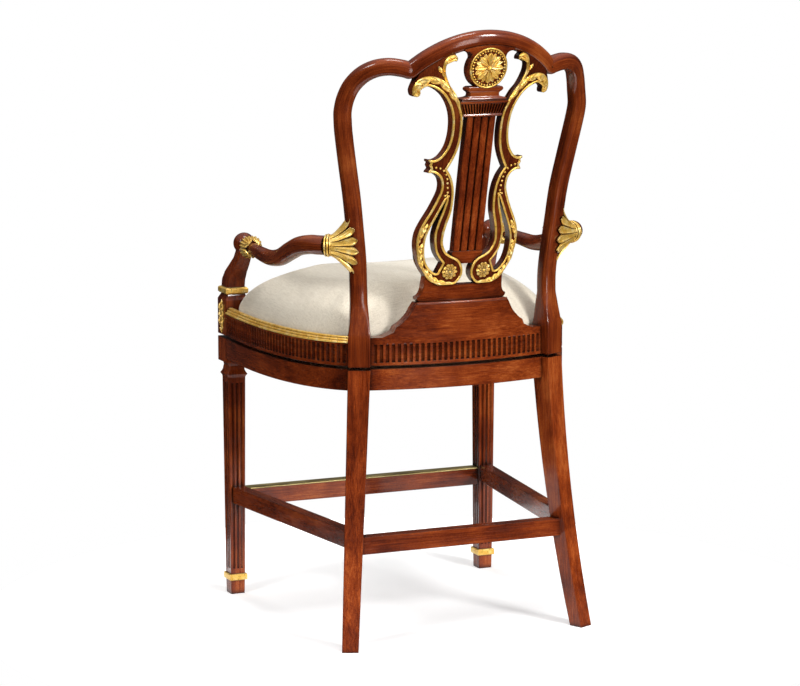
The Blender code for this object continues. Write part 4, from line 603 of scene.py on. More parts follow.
def softwood():
    made = Finish("softwood", 0.0, 0.3)
    pore = made.streaks((25, 500, 500), detail=3)
    tone = made.streaks((3, 60, 60), detail=5, distortion=0.6) * 0.7 + pore * 0.3
    # Painted shade in the softwood's recesses, from ambient occlusion.
    colour = made.mix(made.recess(0.01) * 0.6, made.ramp(tone, SOFTWOOD), PAINTED_SHADE_SOFTWOOD)
    return made.finish(colour, made.spread(pore, 0.3, 0.7, 0.60, 0.80), tone, 0.25, 0.0005, 0.0006)


FINISHES = {
    "mahogany_x": mahogany("mahogany_x", (0, 1, 1)),
    "mahogany_y": mahogany("mahogany_y", (1, 0, 1)),
    "mahogany_z": mahogany("mahogany_z", (1, 1, 0)),
    # Darker copies for the bent pieces and the scroll boards, and a lighter copy for the legs.
    "mahogany_bent": mahogany("mahogany_bent", (1, 1, 0), True, 0.16),
    "mahogany_leg": mahogany("mahogany_leg", (1, 1, 0), lift=1.16),
    "mahogany_scroll": mahogany("mahogany_scroll", (1, 1, 0), darkening=0.45),
    "gilt": gilt("gilt", 0.86, 0.78),
    # Lighter copies of the gilt with less painted shade in their recesses; their lighter colour is painted
    # light on the moulding and the thin raised lines.
    "gilt_moulding": gilt("gilt_moulding", 0.96, 0.40),
    "gilt_line": gilt("gilt_line", 0.98, 0.42),
    "brass": brass(),
    "linen": linen(),
    "steel": steel(),
    "softwood": softwood(),
}
GRAIN_X = ("front_rail", "back_rail", "front_stretcher", "back_stretcher", "crest", "plinth", "yoke")
GRAIN_Y = ("left_rail", "right_rail", "left_stretcher", "right_stretcher", "left_arm", "right_arm")


def finish_of(node):
    slot = NODES[node].material_slots[0].name.split(".")[0]
    if slot == "mahogany":
        if node.endswith("_leg"):
            return "mahogany_leg"
        for axis, words in (("x", GRAIN_X), ("y", GRAIN_Y)):
            if "post" not in node and any(word in node for word in words):
                return f"mahogany_{axis}"
        return "mahogany_z"
    return "gilt_moulding" if "moulding" in node else slot


# Copies of the nodes, finished

BASE_COPIES = [
    *(f"{end}_{side}_leg" for end in ("front", "back") for side in ("left", "right")),
    *(f"front_{side}_foot_band" for side in ("left", "right")),
    *(f"base_{side}_rail" for side in ("front", "left", "right", "back")),
    *(f"{side}_stretcher" for side in ("front", "left", "right", "back")),
    "footrest_brass_strip",
]
SEAT_COPIES = [
    *(f"seat_{side}_rail" for side in ("front", "left", "right", "back")),
    *(f"{side}_{kind}" for kind in ("arm_post", "post_band") for side in ("left", "right")),
    "lyre_yoke",
]
FRONT_LEGS = ("front_left_leg", "front_right_leg")
COLLAR_LOW = 0.44575
COLLAR_HIGH = 0.4581
COLLAR_HALF = 0.02125
NECK_HALF = 0.0165
COLLAR_CUTS = 5
TENONED = ("base_back_rail", "back_stretcher")
TENON = 0.004
FLAT_ANGLE = radians(0.3)
ON_LEVEL = 3e-4


def slice_across(shape, axis, value):
    point = Vector()
    normal = Vector()
    point[axis] = value
    normal[axis] = 1
    geometry = [*shape.verts, *shape.edges, *shape.faces]
    bmesh.ops.bisect_plane(shape, geom=geometry, dist=1e-5, plane_co=point, plane_no=normal)


def ease_coves(shape):
    """Rounds the two coves at each end of the back panel, and keeps the nose between them."""
    for cut in range(1, PANEL_CUTS):
        for side in (-1, 1):
            slice_across(shape, 0, side * (PANEL_HALF_WIDTH + PANEL_COVE_WIDTH * cut / PANEL_CUTS))
    straight = [point for cove in PANEL_COVES for point in cove]
    eased = [point for cove in PANEL_COVES for point in curve_through(cove)]
    for vert in shape.verts:
        reach = (abs(vert.co.x) - PANEL_HALF_WIDTH) / PANEL_COVE_WIDTH
        if 0 < reach < 1:
            levels = (read_run(course, reach)[0] for course in (straight, eased))
            before, after = (SEAT_BOTTOM + blend(PANEL_END_HEIGHT, PANEL_TOP, level) for level in levels)
            if abs(vert.co.z - before) < ON_LEVEL:
                vert.co.z = after


def flare_collar(shape, box):
    """Hollows the flare between a front leg's neck and the crisp edge of its collar."""
    middle = (box[0] + box[1]) / 2
    for share in shares(COLLAR_CUTS)[1:-1]:
        slice_across(shape, 2, blend(COLLAR_LOW, COLLAR_HIGH, share))
    for vert in shape.verts:
        share = (COLLAR_HIGH - vert.co.z) / (COLLAR_HIGH - COLLAR_LOW)
        if 0.02 < share < 0.98:
            off = vert.co - middle
            grow = blend(NECK_HALF, COLLAR_HALF, share**2) / max(abs(off.x), abs(off.y))
            vert.co.x = middle.x + off.x * grow
            vert.co.y = middle.y + off.y * grow


def lengthen(shape, box):
    """Lets both ends of a rail into the legs."""
    middle = (box[0].x + box[1].x) / 2
    for vert in shape.verts:
        vert.co.x = middle + (vert.co.x - middle) * (1 + 2 * TENON / (box[1].x - box[0].x))


def polish(node, body):
    """A copy of a node with its flat faces joined up and its curves shaded smooth."""
    shape = copied(node)
    bmesh.ops.dissolve_limit(shape, angle_limit=FLAT_ANGLE, verts=shape.verts, edges=shape.edges)
    if node == "seat_back_rail":
        ease_coves(shape)
    if node in FRONT_LEGS:
        flare_collar(shape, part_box(node))
    if node in TENONED:
        lengthen(shape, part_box(node))
    piece = add(f"{node}_finish", shape, finish_of(node), body, [node], angle=33)
    weigh = piece.modifiers.new("weigh", "WEIGHTED_NORMAL")
    weigh.keep_sharp = True


# The back's frame

RAKE_FROM = 0.175
RAKE_START = 0.0528
RAKE = 0.215
RAKE_CURVE = 0.06
BACK_SPAN = BACK_POST_X + STILE_COURSE[-1][1] + 0.007
BACK_BOW = 0.125
POST_SQUARE = 24
FRAME_SIDES = 40
CREST_STEPS = 40
SHOULDER_SHARE = 0.84


def back_face(x, z):
    """Y of the splat's rear face in the seat's own frame: raked, and bowed across."""
    rise = z - RAKE_FROM
    raked = BACK_POST_Y + RAKE_START + RAKE * rise + RAKE_CURVE * rise**2
    return raked - BACK_BOW * (1 - sqrt(max(0.0, 1 - (x / BACK_SPAN) ** 2)))


def crest_line(x, offset=0.0):
    radius = (CREST_HALF_SPAN**2 + CREST_RISE**2) / (2 * CREST_RISE)
    return CREST_TOP - CREST_HEIGHT / 2 - radius + sqrt((radius + offset) ** 2 - x * x)


def plan_normal(x):
    step = 0.001
    return Vector((back_face(x - step, 0) - back_face(x + step, 0), 2 * step, 0)).normalized()


def stile_middle(height):
    out, back = read_run(curve_through(STILE_COURSE), height)
    return Vector((BACK_POST_X + out, BACK_POST_Y + back, height))


def facing(turn):
    return Vector((sin(turn), cos(turn), 0))


def frame_rows():
    """Rows of the left half of the back's frame, from the seat up: middle, normal and section."""
    rows = []
    for z, out, back in curve_through(STILE_COURSE):
        share = max(0.0, min(1.0, (z - STILE_BLOCK_HEIGHT) / STILE_BLOCK_HEIGHT)) ** 0.7
        width = blend(BACK_POST_WIDTH, STILE_WIDTH, share)
        depth = blend(BACK_POST_DEPTH, STILE_DEPTH, share)
        power = blend(POST_SQUARE, STILE_SQUARE, share**0.4)
        turn = blend(BACK_POST_TURN, STILE_TURN, share)
        rows.append((in_seat(BACK_POST_X + out, BACK_POST_Y + back, z), facing(turn), width, depth, power))
    start = stile_middle(STILE_JOINT_HEIGHT)
    top = crest_line(CREST_HALF_SPAN) + SHOULDER_RISE
    end = plan_normal(CREST_HALF_SPAN)
    end_y = back_face(CREST_HALF_SPAN, top) - CREST_DEPTH / 2
    course = curve_through(SHOULDER_COURSE)
    for place, (run_in, up, back) in enumerate(course[1:]):
        share = SHOULDER_SHARE * (place + 1) / len(course)
        x = blend(start.x, CREST_HALF_SPAN, run_in)
        turn = blend(STILE_TURN, atan2(end.x, end.y), share)
        centre = in_seat(x, blend(start.y, end_y, back), blend(start.z, top, up))
        width = blend(STILE_WIDTH, CREST_HEIGHT, share)
        rows.append((centre, facing(turn), width, blend(STILE_DEPTH, CREST_DEPTH, share), STILE_SQUARE))
    for share in shares(CREST_STEPS)[1:]:
        x = CREST_HALF_SPAN * (1 - share)
        z = crest_line(x)
        centre = in_seat(x, back_face(x, z) - CREST_DEPTH / 2, z)
        rows.append((centre, plan_normal(x), CREST_HEIGHT, CREST_DEPTH, STILE_SQUARE))
    return rows


def make_back_frame():
    rows = frame_rows()
    mirror = Vector((-1, 1, 1))
    rows += [(centre * mirror, normal * mirror, *size) for centre, normal, *size in rows[-2::-1]]
    sections = [section(width, depth, power, FRAME_SIDES) for _, _, width, depth, power in rows]
    path = [row[0] for row in rows]
    shape = skinned(sweep(path, [row[1] for row in rows], sections))
    nodes = ["crest_rail"]
    for word, _ in SIDES:
        nodes += [f"{word}_stile", f"{word}_shoulder"]
    grain = straightened(path, sections)
    add("back_frame", shape, "mahogany_bent", stands_for=nodes, angle=30, grain=grain)


# Arms

KNOB_STEPS = 28
KNOB_ARC = (178, 36)
KNOB_REACH = 1.3
ARM_SIDES = 32
RING_STEPS = 40
TUBE_STEPS = 10

LEAF_ROWS = 24
LEAF_COLUMNS = 5
RIB_COLUMNS = 4
LEAF_SPOON = 0.66
LEAF_SPREAD = 0.985
LEAF_SHELL = 0.0012
LEAF_LIP = 0.0022
LEAF_MIDRIB = 0.0007
LEAF_DROP = 0.0016
LEAF_TIP_ROLL = 0.0016
SHELL_RIBS = 0.0015
SHELL_DOME = 0.0010

FAN_LEAVES = 12
FAN_CHEEK = STILE_DEPTH / 2 + 0.0045
FAN_COLLAR = ARM_END_RADIUS + 0.0008
FAN_HALF_HEIGHT = 0.052
# Shares: along the fan, and how far its half width and half height have grown
FAN_STATIONS = ((0.14, 0.0, 0.0), (0.38, 0.3, 0.18), (0.64, 0.7, 0.52), (0.88, 1.0, 0.88))
FAN_MOUTH = (1.05, FAN_CHEEK + 0.001, 0.0525)
FAN_LAG = 0.24
FAN_RINGS = ((0.015, 0.0190, 0.0019), (0.085, 0.0196, 0.0022), (0.15, 0.0188, 0.0016))
CUP_LEAVES = 4
CUP_RIBS = 5
CUP_START = KNOB_RADIUS * 2.0
CUP_STATIONS = ((0.0, 0.0178), (0.004, 0.0210), (0.011, 0.0204), (0.020, 0.0176), (0.030, 0.0134))
CUP_RING = (0.0158, 0.0022)


def collar_centre():
    stile = stile_middle(KNOB.z + COLLAR_OFFSET.z)
    return Vector((stile.x + COLLAR_OFFSET.x, stile.y + COLLAR_OFFSET.y, stile.z))


def arm_stations():
    stop = collar_centre()
    course = [(0.0, 0.0, 0.0, KNOB_RADIUS * 0.5), *ARM_COURSE, (1.0, 0.0, 0.0, ARM_END_RADIUS)]
    return [
        (KNOB + (stop - KNOB) * share + Vector((out, 0, up)), radius)
        for share, out, up, radius in curve_through(course)
    ]


def arm_axis():
    return (arm_stations()[8][0] - KNOB).normalized()


def make_arm(word, side):
    path = []
    radii = []
    for share in shares(KNOB_STEPS):
        angle = radians(blend(*KNOB_ARC, share))
        path.append(KNOB + arm_axis() * KNOB_RADIUS * cos(angle))
        radii.append(KNOB_RADIUS * sin(angle))
    for place, radius in arm_stations():
        if (place - KNOB).length > KNOB_RADIUS * KNOB_REACH:
            path.append(place)
            radii.append(radius)
    sections = [section(2 * r, 2 * r, 2, ARM_SIDES) for r in radii]
    shape = skinned([seated(loop, side) for loop in sweep(path, [UP] * len(path), sections)])
    grain = straightened(path, sections)
    add(f"{word}_arm_carving", shape, "mahogany_bent", stands_for=[f"{word}_arm"], angle=50, grain=grain)


def mouth_angles(wide, high, leaves):
    """First, middle and last angle of each leaf round a cup's mouth, which they share evenly."""
    girth = [(0.0, 0.0)]
    for step in range(1, 361):
        before, here = radians(step - 1), radians(step)
        run = hypot(wide * (cos(here) - cos(before)), high * (sin(here) - sin(before)))
        girth.append((girth[-1][0] + run, here))
    return [
        [read_run(girth, girth[-1][0] * (leaf + bit) / leaves)[0] for bit in (0.0, 0.5, 1.0)]
        for leaf in range(leaves)
    ]


def leaf_swell(share, u, ribs, curl):
    """Height of a leaf over its cup: a lip and a midrib, or a shell's ribs, and a curled tip."""
    dome = 1 - u * u
    if ribs:
        relief = SHELL_RIBS * cos(pi * ribs * u) * min(1.0, 4 * (1 - share)) + SHELL_DOME * dome
    else:
        relief = LEAF_LIP * exp(-((abs(u) - 0.74) / 0.20) ** 2)
        relief += LEAF_MIDRIB * exp(-((u / 0.14) ** 2)) * (1 - share)
    swell = min(1, share * 3) * relief - LEAF_DROP * abs(u) ** 6
    return swell + curl * max(0.0, share - 0.7) ** 2 + LEAF_TIP_ROLL * max(0.0, share - 0.9) / 0.1 * dome


def leaf_cup(shape, centre, along, stations, leaves, side, drift=None, lead=None, lag=0.0, curl=0.0,
             point=2.4, square=1.0, ribs=0):
    """Hollow leaves round a flared cup: rows of stations give distance, half width and half height.

    They leave the arm in the lead's direction, and drift with what their tips lie on."""
    run = curve_through([(i / (len(stations) - 1), *row) for i, row in enumerate(stations)], 6)
    length, *mouth = stations[-1]
    half = LEAF_COLUMNS + RIB_COLUMNS * ribs
    for first, middle, last in mouth_angles(*mouth, leaves):
        rings = []
        for share in shares(LEAF_ROWS):
            reach, wide, high = read_run(run, share)
            reach -= lag * share * sin(middle) ** 2
            way = (lead or along).lerp(along, min(1, 3 * reach / length)).normalized()
            across = way.cross(UP).normalized()
            narrow = max(0.0, 1 - (max(0.0, share - LEAF_SPOON) / (1 - LEAF_SPOON)) ** point)
            top = []
            under = []
            for column in range(-half, half + 1):
                u = column / half
                angle = middle + (last - middle if u > 0 else middle - first) * u * narrow * LEAF_SPREAD
                ray = across * cos(angle) + UP * sin(angle)
                breadth = copysign(abs(cos(angle)) ** blend(1, square, share), cos(angle))
                base = across * (wide * breadth) + UP * (high * sin(angle))
                core = centre + along * reach
                if drift:
                    core = core + drift(core.z + base.z) * share
                top.append(core + base + ray * leaf_swell(share, u, ribs, curl))
                under.append(core + base - ray * LEAF_SHELL)
            rings.append(seated(top + under[::-1], side))
        skin(shape, rings)


def ring(shape, centre, axis, radius, tube, side):
    """A round band about an axis."""
    across = axis.cross(UP).normalized()
    up = across.cross(axis).normalized()
    rings = []
    for step in range(RING_STEPS):
        turn = 2 * pi * step / RING_STEPS
        ray = across * cos(turn) + up * sin(turn)
        loop = []
        for bit in range(TUBE_STEPS):
            lap = 2 * pi * bit / TUBE_STEPS
            loop.append(centre + ray * (radius + tube * cos(lap)) + axis * (tube * sin(lap)))
        rings.append(seated(loop, side))
    skin(shape, rings, closed=True)


def make_fan(word, side):
    start = collar_centre()
    inward = stile_middle(start.z) - start
    run = inward.length
    along = inward.normalized()
    last, before = arm_stations()[-1][0], arm_stations()[-3][0]
    mitre = ((last - before).normalized() + along).normalized()
    stations = [
        (run * place, blend(FAN_COLLAR, FAN_CHEEK, out), blend(FAN_COLLAR, FAN_HALF_HEIGHT, up))
        for place, out, up in FAN_STATIONS
    ]
    stations.append((run * FAN_MOUTH[0], *FAN_MOUTH[1:]))

    def drift(z):
        return stile_middle(z) - stile_middle(start.z) - Vector((0, 0, z - start.z))

    shape = bmesh.new()
    leaf_cup(
        shape, start, along, stations, FAN_LEAVES, side, drift, mitre, run * FAN_LAG, curl=0.02, point=1.6,
        square=0.4,
    )
    for place, radius, tube in FAN_RINGS:
        axis = mitre.lerp(along, min(1, 3 * place)).normalized()
        ring(shape, start + along * run * place, axis, radius, tube, side)
    add(f"{word}_fan_carving", shape, "gilt", stands_for=[f"{word}_arm_fan"])


def make_leaf_cup(word, side):
    along = arm_axis()
    start = KNOB + along * CUP_START
    stations = [(reach, radius, radius) for reach, radius in CUP_STATIONS]
    shape = bmesh.new()
    leaf_cup(shape, start, along, stations, CUP_LEAVES, side, curl=0.006, point=2.6, ribs=CUP_RIBS)
    ring(shape, start, along, *CUP_RING, side)
    add(f"{word}_leaf_cup_carving", shape, "gilt", stands_for=[f"{word}_arm_leaf_cup"])


# Relief carving, drawn flat (across, up, out) and laid on a surface

# In millimetres, measured as the scroll is; rows of a leaf end with its half width
BEADS = (
    (79.6, 224.6), (71.6, 222.9), (64.5, 218.1), (59.2, 210.9), (56.5, 202.7), (55.1, 194.6),
    (53.9, 186.0), (53.0, 177.1),
)
CURL_LEAF = (
    (45.5, 330, 1.0), (51, 344, 3.2), (59, 356, 4.6), (68, 367, 5.2), (80, 378.5, 5.4), (92, 385.5, 5.6),
    (105, 388.2, 6.4), (117, 386.4, 7.0), (126, 379.5, 7.0), (130.5, 370, 5.6), (130, 362.5, 4.4),
    (125.8, 360.5, 2.6),
)
TIP_LEAF = (
    (57, 352, 0.8), (67.5, 369, 2.2), (76.5, 384, 2.8), (82, 397, 3.0), (83.6, 406, 3.0), (83.2, 414, 3.2),
    (80.4, 422, 3.8), (75.5, 427.6, 4.2), (69, 429.4, 4.2), (64.4, 427, 3.4), (63.4, 423.6, 2.0),
)
SIDE_LEAF = ((79.5, 389, 1.2), (85, 398.5, 2.8), (90.5, 406, 3.6), (94.5, 412, 1.2))
LOW_LEAVES = (
    ((97.5, 82, 0.8), (96.8, 91, 2.8), (93.4, 101, 4.2), (89.2, 110, 3.4), (84.5, 118.5, 0.8)),
    ((82, 25, 0.8), (88, 37, 3.6), (92.6, 49, 4.4), (94.6, 61, 4.4), (94.4, 72, 3.6), (90.5, 81, 0.8)),
    ((27, 4.2, 0.8), (41, 4.4, 3.2), (55, 6.8, 4.6), (67, 12.6, 5.0), (76.5, 22, 4.2), (81.5, 33, 0.8)),
)
BUD = ((57.5, 171, 2.1), (50.5, 170, 2.1), (54, 172.3, 1.7), (54, 168, 1.8))
BEAD_RADIUS = 0.0021
BEAD_RISE = 0.0006
# Near and far inset of a raised line, and its height
EDGE_LINE = (0.0002, 0.0047, 0.0024)
SLOT_LINE = (0.0002, 0.0042, 0.0022)
LINE_SINK = 0.0006
LINE_STEPS = 6
SHARPEST_MITRE = 1.8

LEAF_HALF_COLUMNS = 6
LEAF_SINK = 0.0006
PETAL_ROWS = 10
PETAL_COLUMNS = 4
PETAL_TIP = 0.7
PETAL_SINK = 0.0008
# Rows of petals: start, end, half width, rise, base, turn and cup
ROSETTE_PETALS = 10
ROSETTE_ROWS = (
    (0.0030, 0.0150, 0.0048, 0.0032, 0.0004), (0.0020, 0.0096, 0.0030, 0.0030, 0.0022, 0.5, 0.0006),
)
ROSETTE_BOSS = 0.0030
PATERA_RADIUS = 0.0372
PATERA_STEPS = 96
PATERA_LINE = (0.0, 0.0034, 0.0026)
PATERA_BEADS = 36
PATERA_BEAD_RING = 0.0316
PATERA_BEAD_RISE = 0.0008
PATERA_BEAD = 0.0020
PATERA_GROUND = 0.50
PATERA_GROUND_RISE = 0.0004
PATERA_PETALS = 8
PATERA_ROWS = (
    (0.0030, 0.0285, 0.0052, 0.0030, MEDALLION_PROUD + 0.0002, 0.5),
    (0.0030, 0.0285, 0.0060, 0.0046, MEDALLION_PROUD + 0.0016),
)
PATERA_BOSS = 0.0042

LAY_STEP = 0.010
COVE_STEPS = 16
COVE_FOOT = 0.32
COLUMN_RINGS = 8


def on_splat(side=1, front=False):
    def place(x, z, out):
        reach = -SCROLL_THICKNESS - out if front else out
        return in_seat(side * x, back_face(x, z) + reach, z)
    return place


def drawn(points):
    """Drawn millimetres as metres, standing on the plinth."""
    return [(x / MM_PER_M, PLINTH_TOP + z / MM_PER_M) for x, z in points]


def round_spot(centre, radius, turn):
    return centre[0] + radius * cos(turn), centre[1] + radius * sin(turn)


def strip(shape, place, path, profile, turn=1, closed=False):
    """A raised line along a path: its profile gives rows of inset from the path and height."""
    rings = []
    for here, spot in enumerate(path):
        before, after = neighbours(path, here)
        if closed:
            before, after = path[here - 1], path[(here + 1) % len(path)]
        point = Vector(spot)
        first = Vector((point.x - before[0], point.y - before[1]))
        second = Vector((after[0] - point.x, after[1] - point.y))
        first = (first if first.length > 0 else second).normalized()
        second = (second if second.length > 0 else first).normalized()
        along = (first + second).normalized()
        mitre = min(SHARPEST_MITRE, 1 / max(0.3, along.dot(second)))
        inward = Vector((along.y, -along.x)) * turn * mitre
        rings.append([place(*(point + inward * inset), rise) for inset, rise in profile])
    skin(shape, rings, closed)


def half_round(near, far, height, base=0.0):
    """Profile of a rounded line between two insets."""
    middle = (near + far) / 2
    points = [(near, base - LINE_SINK)]
    for step in range(LINE_STEPS + 1):
        turn = pi * step / LINE_STEPS
        points.append((middle - (far - near) / 2 * cos(turn), base + height * sin(turn)))
    return points + [(far, base - LINE_SINK)]


def carved_leaf(shape, place, course, lobes, height, lean=0.5, base=0.0, plain=0):
    """An acanthus leaf in relief: rows of its middle line and half width in millimetres, root first.

    Its lobes are cut into both edges, or into one where the other is left plain."""
    rows = curve_through(course, 10)
    grid = []
    for here, (x, z, half) in enumerate(rows):
        before, after = neighbours(rows, here)
        along = Vector((after[0] - before[0], after[1] - before[1])).normalized()
        share = here / (len(rows) - 1)
        notch = 0.30 + 0.70 * abs(sin(pi * (lobes * share + 0.25))) ** 0.6 if lobes else 1.0
        line = []
        for column in range(-LEAF_HALF_COLUMNS, LEAF_HALF_COLUMNS + 1):
            u = column / LEAF_HALF_COLUMNS
            cut = 1.0 if u * plain > 0 else notch * (1.4 if plain else 1.0)
            across = Vector((-along.y, along.x)) * (u * half * cut)
            spot = Vector((x, z)) + across + along * (lean * half * abs(u) ** 1.5)
            vein = 0.5 + 0.5 * cos(2 * pi * (lobes * share - 0.55 * abs(u)))
            dome = (1 - abs(u) ** 2.5) ** 0.6
            rise = height * (dome * (0.45 + 0.40 * vein) + 0.35 * exp(-((u / 0.17) ** 2)))
            rise *= min(1.0, 6 * (1 - share) + 0.25) * min(1.0, 8 * share + 0.3)
            (flat,) = drawn([spot])
            line.append(place(*flat, base + rise - (LEAF_SINK if abs(u) == 1 else 0)))
        grid.append(line)
    sheet(shape, grid)


def petals(shape, place, centre, count, near, far, wide, rise, base, turn=0.0, cup=0.0):
    """A ring of petals, each with a groove down its middle and a rounded tip."""
    for petal in range(count):
        angle = 2 * pi * (petal + turn) / count
        along = Vector((cos(angle), sin(angle)))
        across = Vector((-along.y, along.x))
        grid = []
        for share in shares(PETAL_ROWS):
            reach = blend(near, far, share)
            half = wide * (0.35 + 0.65 * sin(pi * min(1, 0.12 + share * 0.72)))
            if share >= PETAL_TIP:
                half *= sqrt(max(0.0, 1 - ((share - PETAL_TIP) / (1 - PETAL_TIP)) ** 2))
            half = min(half, tan(pi / count) * reach)
            swell = rise * (0.35 + 0.65 * sin(pi * (0.15 + 0.7 * share)))
            line = []
            for column in range(-PETAL_COLUMNS, PETAL_COLUMNS + 1):
                u = column / PETAL_COLUMNS
                spot = Vector(centre) + along * reach + across * (half * u)
                fold = 1 - abs(u) ** 3 - 0.45 * exp(-((u / 0.25) ** 2))
                height = base + swell * fold + cup * share**2
                line.append(place(*spot, height - (PETAL_SINK if abs(u) == 1 else 0)))
            grid.append(line)
        sheet(shape, grid)


def scroll_outline():
    outline = curve_through(drawn(SCROLL_CURL), 6)[:-1]
    outline += curve_through(drawn(SCROLL_WAIST), 6)
    outline += curve_through(drawn(SCROLL_CUSP), 4)[1:-1]
    outline += curve_through(drawn(SCROLL_BODY), 6)[:-1]
    outline += curve_through(drawn(SCROLL_STRAND), 6)[:-1]
    outline += curve_through(drawn(SCROLL_NECK), 6)
    return [(x, max(PLINTH_TOP, z)) for x, z in outline]


def slot_outline():
    return curve_through(drawn(SLOT_OUTER), 5)[:-1] + curve_through(drawn(SLOT_INNER), 5)[:-1]


def board(outlines, back, front):
    """A flat board from closed outlines, the first outside and the others its holes."""
    curve = bpy.data.curves.new("outline", "CURVE")
    curve.dimensions = "2D"
    curve.fill_mode = "BOTH"
    curve.extrude = (back - front) / 2
    for outline in outlines:
        spline = curve.splines.new("POLY")
        spline.points.add(len(outline) - 1)
        for point, spot in zip(spline.points, outline):
            point.co = (*spot, 0, 1)
        spline.use_cyclic_u = True
    guide = bpy.data.objects.new("outline", curve)
    bpy.context.scene.collection.objects.link(guide)
    bpy.context.view_layer.update()
    graph = bpy.context.evaluated_depsgraph_get()
    mesh = bpy.data.meshes.new_from_object(guide.evaluated_get(graph))
    bpy.data.objects.remove(guide, do_unlink=True)
    shape = bmesh.new()
    shape.from_mesh(mesh)
    bpy.data.meshes.remove(mesh)
    bmesh.ops.remove_doubles(shape, verts=shape.verts, dist=1e-6)
    bmesh.ops.translate(shape, verts=shape.verts, vec=(0, 0, (back + front) / 2))
    return shape


def lay(shape, place):
    """Bends a flat board on to the splat."""
    for axis in (0, 1):
        values = [vert.co[axis] for vert in shape.verts]
        low, high = min(values), max(values)
        for count in range(1, int((high - low) / LAY_STEP) + 1):
            slice_across(shape, axis, low + count * LAY_STEP)
    for vert in shape.verts:
        vert.co = place(*vert.co)


def make_scroll(word, side):
    bite = SCROLL_BITE - CREST_HEIGHT / 2
    reach = [blend(*SCROLL_TOP, share) / MM_PER_M for share in shares(TOP_STEPS)]
    outline = [(x, min(z, crest_line(x, bite))) for x, z in scroll_outline()]
    outline += [(x, crest_line(x, bite)) for x in reach]
    shape = board([outline, slot_outline()], 0, -SCROLL_THICKNESS)
    lay(shape, on_splat(side))
    add(f"{word}_scroll_board", shape, "mahogany_scroll", stands_for=[f"{word}_lyre_scroll"], angle=35)
    for face, front in (("back", False), ("front", True)):
        make_gilding(f"{word}_{face}", on_splat(side, front), front)


def make_gilding(name, place, front):
    """Raised gilt lines along the scroll's edges, its beads and leaves, and the front's rosette."""
    shape = bmesh.new()
    if front:
        rosette(shape, place)
    under = -CREST_HEIGHT / 2 - GILDING_STOP
    outline = [(x, z) for x, z in scroll_outline() if z < crest_line(x, under)]
    strip(shape, place, outline, half_round(*EDGE_LINE))
    strip(shape, place, slot_outline(), half_round(*SLOT_LINE), -1, True)
    for spot in drawn(BEADS):
        ball(shape, place(*spot, BEAD_RISE), BEAD_RADIUS)
    for x, z, radius in BUD:
        (spot,) = drawn([(x, z)])
        ball(shape, place(*spot, BEAD_RISE), radius / MM_PER_M)
    carved_leaf(shape, place, CURL_LEAF, lobes=7, height=0.0050, plain=1)
    carved_leaf(shape, place, TIP_LEAF, lobes=0, height=0.0046, lean=0.0)
    carved_leaf(shape, place, SIDE_LEAF, lobes=2, height=0.0034)
    for course in LOW_LEAVES:
        carved_leaf(shape, place, course, lobes=len(course) - 1, height=0.0040, lean=0.9, plain=-1)
    add(f"{name}_scroll_gilding", shape, "gilt_line")


def rosette(shape, place):
    (centre,) = drawn([ROSETTE_CENTRE])
    for row in ROSETTE_ROWS:
        petals(shape, place, centre, ROSETTE_PETALS, *row)
    ball(shape, place(*centre, ROSETTE_BOSS), ROSETTE_BOSS)


def make_rosette(word, side):
    shape = bmesh.new()
    rosette(shape, on_splat(side))
    add(f"{word}_rosette_carving", shape, "gilt", stands_for=[f"{word}_rosette"])


def medallion_centre():
    return 0.0, crest_line(0, -CREST_HEIGHT / 2) - MEDALLION_RADIUS


def make_board(name, half, back, node):
    """A board on the splat, from the left half of its outline."""
    outline = half + [(-x, z) for x, z in half[::-1] if x > 0]
    shape = board([outline], back, -SPLAT_FRONT)
    lay(shape, on_splat())
    add(name, shape, "mahogany_x", stands_for=[node], angle=35)


def make_medallion():
    """The round block under the crest, whose ears run into it in hollow curves."""
    centre = medallion_centre()
    turns = [radians(blend(*MEDALLION_ARC, share)) for share in shares(MEDALLION_STEPS)]
    half = [round_spot(centre, MEDALLION_RADIUS, turn) for turn in turns]
    half[0] = (0.0, half[0][1])
    ear = [(x / MM_PER_M, centre[1] + z / MM_PER_M) for x, z in MEDALLION_EAR]
    half += curve_through([half[-1], *ear], 6)[1:]
    bite = SCROLL_BITE - CREST_HEIGHT / 2
    half += [(half[-1][0] * (1 - share), crest_line(0, bite)) for share in shares(TOP_STEPS)]
    half = [(x, min(z, crest_line(x, bite))) for x, z in half]
    make_board("medallion_block", half, MEDALLION_PROUD, "lyre_medallion")


def make_patera(name, place, stands_for=()):
    """The medallion's flower: a rim, a ring of beads, two rows of petals and a boss."""
    shape = bmesh.new()
    middle = medallion_centre()
    base = MEDALLION_PROUD
    turns = [-2 * pi * step / PATERA_STEPS for step in range(PATERA_STEPS)]
    rim = [round_spot(middle, PATERA_RADIUS, turn) for turn in turns]
    strip(shape, place, rim, half_round(*PATERA_LINE, base), closed=True)
    for bead in range(PATERA_BEADS):
        spot = round_spot(middle, PATERA_BEAD_RING, 2 * pi * bead / PATERA_BEADS)
        ball(shape, place(*spot, base + PATERA_BEAD_RISE), PATERA_BEAD, count=10)
    ground = [round_spot(middle, PATERA_RADIUS * PATERA_GROUND, turn) for turn in turns]
    shape.faces.new([shape.verts.new(place(*spot, base + PATERA_GROUND_RISE)) for spot in ground])
    for row in PATERA_ROWS:
        petals(shape, place, middle, PATERA_PETALS, *row)
    ball(shape, place(*middle, base + PATERA_BOSS), PATERA_BOSS)
    add(name, shape, "gilt_line", stands_for=stands_for)


